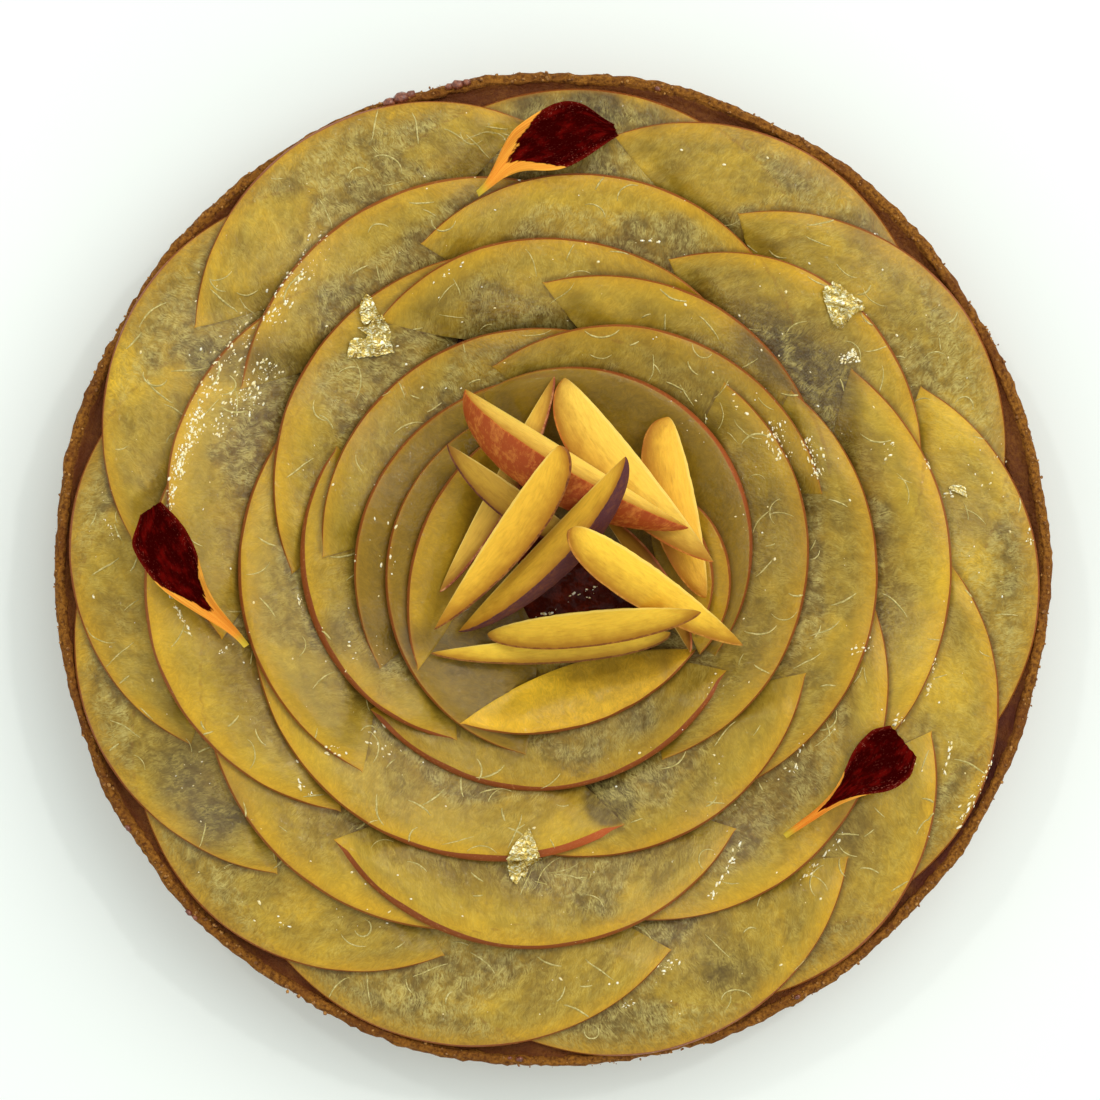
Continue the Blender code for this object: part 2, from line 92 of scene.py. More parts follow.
# The pastry is flat at its very base, smoother a little above it and rough on its rim. Jam
# has stained it to both sides of an angle, in degrees.
CRUST_STEPS = 560
CRUMB_RELIEF = 0.55 * MM
FLAT_BELOW = 0.3 * MM
PLAIN_BELOW = 1 * MM
RIM_FROM = 17 * MM
RIM_FADE = 2 * MM
SAME_HEIGHT = 0.001 * MM
STAIN_ANGLE = 331
STAIN_REACH = 16

# The jam is mounded and lumpy in the middle and is drawn up a little at the case
JAM_STEPS = 300
MOUND = 1.5 * MM
MOUND_REACH = 16 * MM
LUMPY_REACH = 18 * MM
JAM_DIP = 0.25 * MM
MENISCUS = 0.5 * MM

# Heights from which everything, and every slice, lies below
ABOVE_ALL = 0.2
OVER_SLICES = 0.05

# The solid of a slice has an even grid that stops short of its tips
SLICE_COLUMNS = 12
SLICE_ROWS = 3
TIP_CUT = 0.012
PIT_BULGE = 0.09
SAME_CORNER = 0.02 * MM

# Its visible shape has a finer grid, with the columns bunched towards the tips
FINE_COLUMNS = 90
FINE_ROWS = 22
FIRST_STEP = 0.02
BUNCHING = 0.6

# A slice thins out over these lengths towards its stone side, its tips and its skin, and
# reaches this far into the glaze below it
STONE_TAPER = 6.5 * MM
TIP_TAPER = 14 * MM
SHOULDER = 4 * MM
SHOULDER_DROP = 0.30
SINK = 0.6 * MM
LAID_FLAT = 5.5 * MM
MAX_SAG = 1.3 * MM
FILM = 0.1 * MM
SEEN_FROM = 0.3 * MM

# Shares of the thickness that are left at the stone side, at the tips and anywhere
STONE_BODY = 0.25
TIP_BODY = 0.3
LEAST_BODY = 0.12

# The skin edge: its spots, as a share of its width and a drop as a share of the thickness,
# its greatest width as a share of the breadth, and how much and how often the width varies
SKIN_EDGE = ((0.12, 0.04), (0.45, 0.20), (0.80, 0.45), (1.0, 0.75))
WIDEST_SKIN = 0.42
RUFFLE = 0.25
RUFFLES = 14

# The stone edge: its width, its greatest share of the breadth, and the drops of its spots
STONE_EDGE = 0.30 * MM
NARROW_EDGE = 0.3
STONE_DROPS = (0.75, 0.22)

# The underside: where it begins as a share of the skin edge's width, its other spots as
# shares of the breadth, and how much they look like skin
UNDERSIDE_START = 0.3
UNDERSIDE = (0.7, 0.35, 0.1)
UNDER_SKIN = 0.4

# Edges of other slices count within this reach, in millimetres, and none is farther off
# than the second value
EDGE_REACH = 3
FAR_OFF = 9.0

# Each slice: angle and distance of one tip, of the crest of its skin edge, and of the
# other tip, in degrees and millimetres. A slice lies over the ones before it in its ring.
RINGS = (
    (
        (58, 79.0, 84, 87.1, 110, 79.0),
        (31, 79.0, 54, 88.0, 82, 79.0),
        (2, 77.0, 30, 87.8, 62.5, 72.0),
        (328, 77.0, 354, 88.0, 26.5, 74.0),
        (305, 79.0, 328, 87.3, 1, 71.5),
        (283, 79.0, 305, 87.8, 337, 74.0),
        (260, 81.0, 285, 88.9, 316, 74.0),
        (224, 79.0, 252, 88.3, 287.5, 71.5),
        (196, 77.0, 222, 87.6, 254.5, 72.0),
        (168, 77.0, 194, 88.0, 228, 73.5),
        (150, 77.0, 175, 87.1, 206, 72.0),
        (122, 81.0, 149, 88.9, 176, 75.5),
        (93.5, 81.0, 119, 89.6, 146, 77.5),
    ),
    (
        (190, 62.5, 228, 71.0, 266, 63.0),
        (160, 68.0, 187, 72.7, 229, 57.5),
        (130, 66.0, 155, 71.5, 192, 60.0),
        (90, 69.0, 118, 73.0, 150, 64.5),
        (45, 61.0, 80, 71.5, 112, 63.0),
        (8, 65.0, 35, 72.5, 69.5, 59.5),
        (328, 66.0, 358, 71.5, 34, 64.5),
        (280, 63.5, 312, 69.5, 354, 58.0),
        (231, 62.0, 266, 68.0, 305.5, 57.0),
    ),
    (
        (103, 58.0, 135, 58.0, 181, 46.5),
        (60, 55.5, 90, 59.5, 125, 54.5),
        (18, 52.0, 55, 55.5, 92, 51.5),
        (308, 51.0, 350, 58.0, 37, 53.5),
        (262, 50.0, 300, 53.0, 338, 49.0),
        (194, 55.0, 235, 56.0, 286, 47.5),
        (143, 52.5, 180, 56.0, 227, 49.5),
    ),
    (
        (72, 42.0, 125, 44.0, 177, 41.0),
        (15.5, 50.0, 55, 48.5, 106.5, 38.0),
        (300, 39.5, 355, 45.5, 47.5, 45.5),
        (217.5, 41.0, 270, 39.5, 330, 36.0),
        (150, 44.5, 190, 44.0, 241, 35.0),
    ),
    (
        (88, 34.5, 150, 35.0, 210, 35.5),
        (332, 33.0, 0, 35.6, 111.5, 34.0),
        (116, 29.5, 190, 30.0, 262, 33.5),
    ),
    (
        (110, 26.5, 165, 24.5, 217, 30.0),
        (239, 32.0, 288, 28.5, 331, 29.5),
        (330, 30.5, 9, 31.0, 30, 27.0),
        (335, 28.0, 5, 28.3, 38, 22.0),
    ),
)

# In these rings the first slice lies over the last one, too
CLOSED_RINGS = (3, 4)

# Skin edges that are wider or redder than the rest: width in millimetres and redness at the
# first tip, the crest and the last tip
SKIN = {
    (2, 9): ((1.9, 1.1), (0.9, 0.8), (0.6, 0.5)),
    (3, 6): ((0.5, 0.4), (0.7, 0.7), (2.6, 1.6)),
    (4, 4): ((1.6, 1.1), (0.9, 0.9), (1.5, 1.1)),
    (4, 5): ((0.7, 0.7), (1.2, 0.9), (0.8, 0.8)),
    (5, 2): ((0.9, 0.8), (0.9, 1.2), (0.4, 0.4)),
    (2, 2): ((0.7, 0.5), (0.7, 0.7), (0.6, 0.5)),
    (2, 3): ((0.7, 0.5), (0.6, 0.6), (0.5, 0.5)),
    (2, 4): ((0.6, 0.5), (0.7, 0.6), (0.6, 0.5)),
    (3, 7): ((0.6, 0.5), (0.7, 0.7), (0.5, 0.5)),
    (2, 1): ((0.6, 0.5), (0.6, 0.6), (0.5, 0.4)),
    (1, 6): ((0.3, 0.3), (0.7, 0.7), (0.6, 0.6)),
}
PLAIN_SKIN = ((0.40, 0.5), (0.55, 0.7), (0.45, 0.6))

# How fibrous and how light the flesh of each ring looks, and how dark its stone side is,
# partly jam showing through and partly painted shade where the next ring overlaps it
RING_LOOKS = {
    1: (1.0, 1.02, 0.2),
    2: (1.0, 1.06, 1.1),
    3: (1.0, 0.92, 0.6),
    4: (0.9, 0.82, 1.0),
    5: (0.15, 0.47, 0.0),
    6: (0.4, 0.80, 0.0),
}
LIGHT_SLICES = {(6, 2): 1.8, (3, 6): 1.12, (1, 6): 1.05, (2, 8): 0.97}
LIGHTNESS_SPREAD = (0.95, 1.05)
FIBROUS_SPREAD = (0.9, 1.1)

# Where the glaze lies thick and dimpled: x, y and reach in millimetres. It is fully wet in
# an inner share of the reach, and a little wet everywhere.
WET_SPOTS = (
    (-58, 34, 17), (-64, 12, 12), (-45, 52, 12), (35, 42, 12), (47, 34, 12), (38, 18, 10),
    (63, -12, 9), (58, -34, 10), (-33, -14, 9), (-62, -42, 10), (20, -62, 12), (-20, -40, 8),
    (30, -48, 9), (72, 8, 8), (-8, 44, 10), (48, 26, 10), (40, 5, 8), (-12, 70, 9), (60, 55, 8),
)
FULLY_WET = 0.25
LEAST_WET = 0.12

# Where the slices look dark because jam lies close below, and where they look full and
# golden: x, y and reach in millimetres, and the change of tone
TONE_SPOTS = (
    (38, 41, 12, -1.0), (50, 33, 11, -1.0), (-50, 37, 12, -0.8), (-40, 50, 9, -0.6),
    (-66, -36, 12, -1.0), (-61, -47, 9, -0.7), (-37, -11, 9, -0.8), (11, -41, 8, -0.8),
    (54, -47, 12, -0.8), (32, -74, 10, -0.6), (-31, -76, 10, -0.5), (56, 62, 9, -0.7),
    (20, -17, 6, -0.6), (-37, 82, 9, -0.5), (7, 82, 8, -0.6), (-26, -41, 10, -0.6),
    (-21, -13, 7, -0.5), (-79, 34, 11, 0.8), (3, 62, 12, 0.6), (-16, 59, 8, 0.5),
    (71, 26, 12, 1.0), (74, 0, 12, 1.0), (71, -20, 12, 0.9), (-43, -66, 11, 0.5),
    (-18, -37, 8, 0.5), (13, -31, 8, 0.5), (-27, 47, 8, 0.5), (7, 39, 8, 0.6), (-56, 52, 8, 0.5),
    (50, 15, 6, 0.5), (0, -18, 7, 0.5), (-60, 38, 9, -0.7), (43, 36, 10, -0.6),
    (-58, -43, 10, -0.6), (11, -42, 6, -1.0), (30, -70, 11, -0.4), (5, -60, 10, -0.5),
    (67, 44, 8, -0.5), (17, 73, 9, 0.5), (34, 59, 8, 0.4), (-43, -31, 9, 0.5), (0, -47, 8, 0.6),
    (-78, 38, 10, 0.5), (82, 14, 9, 0.5), (80, -10, 9, 0.5), (38, 10, 8, -0.4), (-4, 84, 9, -1.0),
    (8, 84, 9, -1.0), (18, 81, 7, -0.8), (9, -41.4, 7, -0.7), (-26.5, -12.2, 6, -0.5),
    (-1.4, -20.4, 8, 0.6),
)

# Display colours of slices, pastry, jam, petals and gold leaf. A pair runs from its first to
# its second: the first three of the slices as more peach lies below, that of their skin as
# it gets redder, the others in patches.
PEACH = {
    "margin": ((166, 126, 30), (194, 148, 28)),
    "middle": ((142, 112, 32), (170, 138, 38)),
    "fibre": ((208, 190, 110), (224, 194, 86)),
    "sunny": (210, 164, 34),
    "glassy": (82, 60, 26),
    # painted shade on the stone side, partly jam showing through
    "stone side": (80, 52, 16),
    "golden": (210, 168, 38),
    "dark": (68, 52, 30),
    "edge below": (120, 66, 22),
    # painted shadow beside the skin edge of a slice that lies above
    "edge above": (74, 44, 16),
    "tinge": (178, 118, 34),
    "skin": ((160, 96, 34), (138, 70, 28)),
    "red skin": (178, 86, 40),
    "speck": (214, 150, 88),
}
CRUST = {
    "body": ((108, 62, 16), (166, 108, 36)),
    "sand": (200, 152, 76),
    # painted shade in the hollows of the pastry's grain
    "shade in hollows": (74, 36, 12),
    "browned": (104, 54, 20),
    "inside": (96, 46, 18),
    "stain": (70, 24, 26),
    "base": (150, 98, 48),
}
JAM = ((60, 12, 2), (92, 26, 8))
PETAL = {
    "dark": ((46, 1, 1), (94, 8, 5)),
    "margin": (112, 22, 12),
    "vein": (34, 0, 0),
    "dust": (170, 90, 74),
    "yellow": ((238, 168, 62), (222, 130, 44)),
    "tube": (206, 178, 60),
}
GOLD = {
    # the body runs darker to lighter with the wrinkles, the bright colour is a painted highlight on them
    # and the fold colour painted shade
    "body": ((152, 124, 50), (212, 184, 96)),
    "bright": (255, 250, 206),
    "fold": (120, 92, 38),
}

# Two display colours, the roughness and the coat of the smallest things; the pale colour of
# the glaze glints is a painted highlight
SMALL_LOOKS = {
    "painted_glaze_glint": ((244, 222, 150), (255, 255, 236), 0.15, 1.0),
    "flesh_hair": ((176, 158, 84), (218, 202, 132), 0.6, 0.0),
    "crumb": ((116, 68, 24), (184, 130, 60), 0.85, 0.0),
    "jam_bit": ((98, 44, 26), (150, 86, 56), 0.35, 0.3),
}

# Each wedge: both tips (x, y), turn of its ridge, depth, angle between its cut faces, how
# far its ridge stands out from the line between its tips, and the taper of its two ends
WEDGES = {
    "wedge_thin": ((0.4, 34.3), (-20.0, -4.0), -84, 5.0, 50, 0.20, (0.70, 0.70)),
    "wedge_right": ((20.3, 27.2), (27.2, -5.0), 76, 8.8, 28, 0.25, (0.40, 0.60)),
    "wedge_hidden": ((9.0, 9.6), (24.6, -15.0), -78, 4.0, 34, 0.00, (0.65, 0.65)),
    "wedge_low": ((-21.6, -14.8), (21.3, -11.3), 60, 5.0, 46, 0.27, (0.70, 0.50)),
    "wedge_broad": ((2.0, 34.0), (28.4, 1.3), 70, 9.8, 32, 0.18, (0.50, 0.80)),
    "wedge_dark_edge": ((-18.5, 22.2), (4.4, 6.2), 72, 5.8, 36, 0.15, (0.75, 0.55)),
    "wedge_red": ((-15.6, 32.2), (24.2, 7.2), 134, 10.2, 52, 0.05, (0.60, 0.80)),
    "wedge_purple": ((14.2, 21.2), (-18.2, -12.6), -112, 7.6, 46, 0.10, (0.60, 0.75)),
    "wedge_bright": ((1.4, 8.4), (35.6, -14.6), 64, 7.8, 44, 0.40, (0.42, 0.80)),
    "wedge_level": ((-13.4, -11.8), (27.6, -7.0), 64, 6.5, 38, 0.42, (0.55, 0.65)),
    "wedge_top": ((2.6, 23.0), (-22.0, -12.2), -72, 7.4, 38, 0.22, (0.42, 0.85)),
}

# Bulge of the cut faces, the loops along a wedge and how near its tips they reach, and the
# steps over its skin and up each cut face
CUT_BULGE = 0.05
WEDGE_LOOPS = 64
END_LOOP = 0.992
SKIN_STEPS = 13
CUT_STEPS = 15
LAST_CUT_STEP = 0.97

# Corners of a packed wedge this near to the line between its tips lie on that line
ON_LINE = 0.05 * MM

# Roughness of its sections, waves of its ridge, and where the ridge begins
DENTS = 0.016
RIDGE_WAVES = 0.05
NEAR_RIDGE = 0.8

# Flesh, main skin and second skin colour of each wedge, as display colours, and how far
# the flesh darkens towards the skin, partly its deeper colour there and partly painted shade
WEDGE_COLOURS = {
    "wedge_thin": ((228, 180, 66), (150, 74, 46), (214, 150, 96), 0.6),
    "wedge_right": ((244, 188, 58), (168, 100, 30), (206, 140, 52), 1.0),
    "wedge_hidden": ((190, 138, 44), (176, 96, 52), (200, 136, 80), 0.7),
    "wedge_low": ((248, 204, 64), (120, 72, 28), (150, 96, 40), 0.8),
    "wedge_broad": ((246, 200, 76), (176, 94, 34), (206, 130, 48), 1.0),
    "wedge_dark_edge": ((194, 152, 48), (84, 42, 28), (116, 62, 40), 0.6),
    "wedge_red": ((255, 210, 92), (168, 74, 28), (202, 120, 50), 0.85),
    "wedge_purple": ((246, 192, 60), (86, 44, 48), (112, 62, 46), 0.9),
    "wedge_bright": ((248, 198, 60), (172, 108, 38), (204, 142, 54), 0.9),
    "wedge_level": ((238, 190, 56), (126, 74, 26), (166, 108, 40), 0.9),
    "wedge_top": ((244, 188, 56), (112, 58, 28), (160, 100, 40), 0.9),
}

# Deep flesh, which also paints shade towards the skin, and flesh lit by painted light, as
# shares of its colour; the colour of the ridge at the stone, pale flesh with a painted
# highlight; and how much paler the dots in the skin are than its second colour
DEEP_AND_SHADED_FLESH = (0.42, 0.28, 0.18)
PAINTED_LIT_FLESH = (1.05, 1.08, 1.2)
PALE_AND_LIT_RIDGE = (255, 226, 130)
PALE_DOTS = 1.5

# Where pale beads paint the glints of the glaze as highlights: x, y, half length and half
# width of the spot in millimetres, its direction in degrees, and how many glints it holds
GLITTER = (
    (-43, 56, 5, 2.5, 60, 40), (-48.5, 48.5, 5, 2.4, 60, 70), (-53, 33, 5, 2.4, 55, 110),
    (-64.5, 23, 6, 1.5, 72, 170), (-67, 16, 6, 1.2, 78, 80), (-58, 28, 5, 3.5, 60, 60),
    (-56, 41, 6, 3.5, 60, 60), (-61, 34, 6, 1.6, 65, 50),
    (53, 38, 1.6, 1.1, 20, 60), (40, 23, 3.6, 2.2, 100, 70), (46.5, 20, 3.8, 1.4, 105, 70),
    (59, 21, 2.5, 1.5, 30, 12), (30, 30, 7, 5.0, 0, 14), (36, 9, 4, 4, 0, 8),
    (79, -35, 13, 0.8, 63, 74), (71, -34, 3.6, 0.4, 80, 20), (68, -20, 3.6, 0.4, 75, 18),
    (62, -27, 1.0, 0.7, 30, 14), (31, -54, 6, 0.8, 60, 32), (21, -71, 1.8, 1.2, 30, 18),
    (14, -78, 1.5, 0.8, 20, 8), (48, -52, 6.5, 0.7, 48, 22), (55, -14, 2.5, 1.6, 20, 16),
    (-66, -8, 3.8, 0.4, -58, 20), (-58, -14, 1.6, 0.4, 30, 9), (-45, -6, 1.6, 0.4, -75, 8),
    (-79, 7, 2.8, 0.8, -70, 10), (-33, -15, 4, 3, 0, 14), (-31, -31, 4, 2.5, -50, 14),
    (5, -4.5, 3.5, 1.5, 20, 15), (-1, -8, 3, 0.6, 25, 10),
    (-39, -32, 1.3, 1.0, 0, 10), (-44, -39, 2.0, 0.5, -45, 14), (86, 6, 1.4, 1.0, 80, 12),
    (71, 14, 0.9, 0.7, 0, 8), (67, 19, 1.4, 0.5, 90, 9), (18, 59, 3.4, 0.5, 0, 8),
    (-18, 53, 3.6, 0.6, 30, 8), (44, -33, 4.2, 0.6, 75, 14), (-72, -52, 4, 0.5, -50, 6),
    (-50, -62, 4, 0.5, -40, 6), (-34, -64, 5, 3, 0, 8), (80, 20, 6, 2, 70, 10),
    (-30, 3, 8, 5, 80, 14), (-64, -36, 6, 4, 0, 8), (30, -20, 6, 4, 0, 6), (4, -74, 8, 3, 0, 6),
)

# Least and greatest size of a glint in millimetres, and how many more are strewn over the
# tart, within a reach and between two shares of its square
GLINT_SIZES = (0.06, 0.27)
STRAY_GLINTS = 260
STRAY_BAND = (0.16, 0.93)
STRAY_REACH = 87 * MM

# Hairs in the flesh: how many, how far from the middle, their steps, widths and bends, and
# the hop in height at which one ends
HAIRS = 320
HAIR_BAND = (36 * MM, 86 * MM)
HAIR_STEP = 0.45 * MM
HAIR_STEPS = (5, 16)
HAIR_WIDTHS = (0.19 * MM, 0.40 * MM)
HAIR_BEND = 0.12
HAIR_WAVER = 0.06
HAIR_HOP = 0.3 * MM

# Crumbs of pastry: how many, their greatest size, and the share that lies on the rim; then
# how far out from the radius and how far up from the rim of the case, in millimetres
CRUMBS = 1100
CRUMB_SIZE = 0.36 * MM
ON_RIM = 0.7
RIM_BAND = (-1.9, -0.2)
RIM_HEIGHTS = (-0.2, 0.2)
WALL_BAND = (-0.3, 0.05)
WALL_HEIGHTS = (-12, 0)

# Bits of jam stuck to the rim: x, y and size in millimetres
RIM_BITS = (
    (-27.2, 84.9, 1.9), (-29.4, 84.1, 1.5), (-25.5, 85.6, 1.2), (-17.0, 87.3, 1.6),
    (-15.4, 87.7, 1.1), (-18.5, 87.0, 1.1), (-76.4, -46.6, 0.9), (-65.4, -61.8, 0.9),
    (-64.3, -62.7, 0.7), (-5.8, -88.2, 0.9), (-7.6, -88.0, 0.6), (19.0, 86.6, 0.8),
    (44.2, -77.0, 0.8),
)

# Each petal: tube end and blade end (x, y), and its reach to the left and to the right of
# the line between them at these shares of its length
PETAL_STATIONS = (0, 0.12, 0.24, 0.36, 0.48, 0.6, 0.72, 0.84, 0.93, 1)
PETALS = {
    "petal_top": (
        (-13.2, 66.8), (11.8, 77.9),
        (0.5, 2.2, 5.2, 7.7, 8.6, 9.2, 9.5, 8.5, 5.6, 0.8),
        (-0.5, 0.3, 0.9, 0.3, -1.4, -2.1, -1.8, -1.1, -0.5, -0.2),
    ),
    "petal_left": (
        (-54.1, -13.5), (-70.6, 11.3),
        (0.5, 1.2, 2.8, 4.4, 6.0, 7.1, 7.4, 7.4, 6.3, 1.6),
        (-0.5, -0.3, 0.1, 0.2, -0.5, -1.8, -2.5, -2.5, -2.0, -1.3),
    ),
    "petal_right": (
        (41.5, -47.5), (62.5, -30.4),
        (0.5, 0.5, 0.4, 0.6, 1.3, 2.9, 4.6, 5.0, 5.1, 3.0),
        (-0.5, -0.7, -1.0, -1.3, -2.1, -3.3, -5.5, -5.8, -5.6, -3.2),
    ),
}

# Steps along and across a petal, and the share of its length over which its outline is rounded
PETAL_STEPS = (72, 24)
PETAL_THICKNESS = 0.3 * MM
PETAL_SMOOTHING = 3
ROUNDING = 0.06

# Height in millimetres of a petal's folded margins, which end at a share of its length, of
# its ripples and of its ragged end
FOLD = 1.1
FOLD_END = 0.75
RIPPLE = 0.35
RAGGED = 0.25
RAGGED_FROM = 0.7

# Each scrap of gold leaf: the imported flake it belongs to, its middle, and its outline round
# that middle, in millimetres
SCRAPS = {
    "gold_scrap_upper": ("gold_leaf_left", (-32.7, 46.6), (
        (-0.5, 2.9), (0.6, 1.9), (1.2, 0.3), (1.7, -0.8), (0.1, -2.3), (-0.9, -2.9),
        (-1.4, -2.1), (-1.7, -0.3), (-1.5, 1.7))),
    "gold_scrap_lower": ("gold_leaf_left", (-32.0, 41.2), (
        (-2.8, 2.1), (-0.8, 2.3), (0.3, 4.0), (1.6, 4.4), (2.1, 3.5), (2.8, 2.2), (3.2, 1.3),
        (3.0, -0.1), (3.7, -2.2), (0.5, -3.0), (-2.2, -3.2), (-4.7, -3.4), (-4.2, -0.5),
        (-3.3, 0.3), (-1.5, -0.1), (-1.0, 0.8))),
    "gold_scrap_right": ("gold_leaf_right", (52.0, 47.3), (
        (-1.8, 4.4), (-0.2, 3.5), (1.8, 1.8), (3.4, 0.9), (4.0, -0.3), (3.5, -1.2),
        (2.3, -1.5), (1.4, -2.0), (0.5, -3.3), (-0.4, -4.4), (-1.3, -4.4), (-2.2, -3.3),
        (-2.9, -1.5), (-3.6, 0.3), (-4.0, 1.7), (-3.7, 2.8), (-2.2, 3.3))),
    "gold_scrap_front": ("gold_leaf_front", (-4.9, -51.1), (
        (0.8, 5.2), (1.6, 3.5), (2.3, 1.5), (3.1, -0.8), (1.8, -1.3), (0.9, -1.9),
        (0.1, -4.0), (-0.5, -3.5), (-1.4, -5.2), (-2.6, -3.9), (-3.0, -1.9), (-3.1, -0.1),
        (-2.1, 1.9), (-0.9, 3.3))),
    "gold_scrap_small": (None, (72.7, 14.1), (
        (-1.7, 0.6), (-1.0, 1.0), (0.3, 1.2), (1.4, 0.6), (1.7, -1.2), (0.3, -0.5),
        (-0.8, -0.1))),
}

# Steps round and out over a scrap, how torn its outline is, and how much lower the folds are
# in the scraps that lie flat and at the far end of the front one
SCRAP_STEPS = (96, 16)
SCRAP_THICKNESS = 0.1 * MM
SCRAP_LIFT = 0.45 * MM
TORN = 0.09
FLAT_FOLDS = 0.35
FLAT_SCRAPS = ("gold_scrap_upper", "gold_scrap_small")
FLAT_ENDED_SCRAP = "gold_scrap_front"


# Materials

def display(red, green, blue):
    """Linear colour from a display colour in steps of 0 to 255."""
    share = [value / 255 for value in (red, green, blue)]
    return tuple(v / 12.92 if v <= 0.04045 else ((v + 0.055) / 1.055) ** 2.4 for v in share)


class Look:
    """A material under construction, with short calls for the nodes it is made of."""

    def __init__(self, name, **settings):
        self.material = bpy.data.materials.new(name)
        self.material.use_nodes = True
        self.nodes = self.material.node_tree.nodes
        self.links = self.material.node_tree.links
        self.shader = self.nodes["Principled BSDF"]
        self.set(**settings)

    def put(self, socket, value):
        if isinstance(value, bpy.types.NodeSocket):
            self.links.new(value, socket)
        elif isinstance(value, tuple) and len(value) == 3 and socket.type == "RGBA":
            socket.default_value = (*value, 1.0)
        else:
            socket.default_value = value

    def set(self, **settings):
        """Sets inputs of the shader, such as base_color or coat_ior."""
        for key, value in settings.items():
            name = key.replace("_", " ").title().replace("Ior", "IOR")
            self.put(self.shader.inputs[name], value)

    def node(self, kind, output, inputs, **options):
        """One output of a new node with these inputs and options."""
        node = self.nodes.new("ShaderNode" + kind)
        for key, value in options.items():
            setattr(node, key, value)
        for key, value in inputs.items():
            self.put(node.inputs[key], value)
        return node.outputs[output]

    def fact(self, name, output="Fac"):
        """A fact that the points of a piece carry."""
        return self.node("Attribute", output, {}, attribute_name=name)

    def position(self):
        """Place on the object, in millimetres."""
        return self.scaled(self.node("TexCoord", "Object", {}), 1 / MM)

    def vector(self, operation, first, second):
        return self.node("VectorMath", "Vector", {0: first, 1: second}, operation=operation)

    def scaled(self, vector, factor):
        return self.node("VectorMath", "Vector", {0: vector, "Scale": factor}, operation="SCALE")

    def axis(self, vector, letter):
        return self.node("SeparateXYZ", letter, {0: vector})

    def math(self, operation, *values):
        return self.node("Math", 0, dict(enumerate(values)), operation=operation)

    def times(self, *values):
        return functools.reduce(functools.partial(self.math, "MULTIPLY"), values)

    def plus(self, *values):
        return functools.reduce(functools.partial(self.math, "ADD"), values)

    def minus(self, first, second):
        return self.math("SUBTRACT", first, second)

    def centred(self, cloud, reach):
        """A cloud moved round zero, with its whole range scaled to reach."""
        return self.times(self.minus(cloud, 0.5), reach)

    def ramp(self, value, low, high, start=0.0, end=1.0):
        """A soft step of a value from low to high."""
        inputs = {"Value": value, "From Min": low, "From Max": high, "To Min": start, "To Max": end}
        return self.node("MapRange", 0, inputs, interpolation_type="SMOOTHSTEP")

    def mix(self, first, second, share, blend="MIX"):
        inputs = {0: share, 6: first, 7: second}
        return self.node("Mix", 2, inputs, data_type="RGBA", blend_type=blend)

    def between(self, first, second, share):
        """A mix of two display colours."""
        return self.mix(display(*first), display(*second), share)

    def tint(self, body, colour, share):
        """A body with a share of a display colour mixed in."""
        return self.mix(body, display(*colour), share)

    def cloud(self, where, scale, detail=2.0, roughness=0.5, output=0):
        inputs = {"Vector": where, "Scale": scale, "Detail": detail, "Roughness": roughness}
        return self.node("TexNoise", output, inputs)

    def stretched(self, where, factors, detail=2.0, roughness=0.5):
        """A cloud with its own scale along each axis."""
        return self.cloud(self.vector("MULTIPLY", where, factors), 1.0, detail, roughness)

    def cells(self, where, scale):
        """Distance from the middles of scattered cells."""
        return self.node("TexVoronoi", "Distance", {"Vector": where, "Scale": scale})

    def warp(self, where, scale, reach):
        """Shifts a place by up to reach, in a way that changes over 1 / scale."""
        shift = self.cloud(where, scale, 1.0, output=1)
        shift = self.vector("SUBTRACT", shift, (0.5, 0.5, 0.5))
        return self.vector("ADD", where, self.scaled(shift, 2.0 * reach))

    def strands(self, where, factors, width):
        """Fine lines where a stretched cloud passes its middle value."""
        away = self.math("ABSOLUTE", self.minus(self.stretched(where, factors, 1.0), 0.5))
        return self.ramp(away, 0.0, width, 1.0, 0.0)

    def bump(self, height, distance, strength=1.0):
        inputs = {"Height": height, "Distance": distance, "Strength": strength}
        return self.node("Bump", "Normal", inputs)


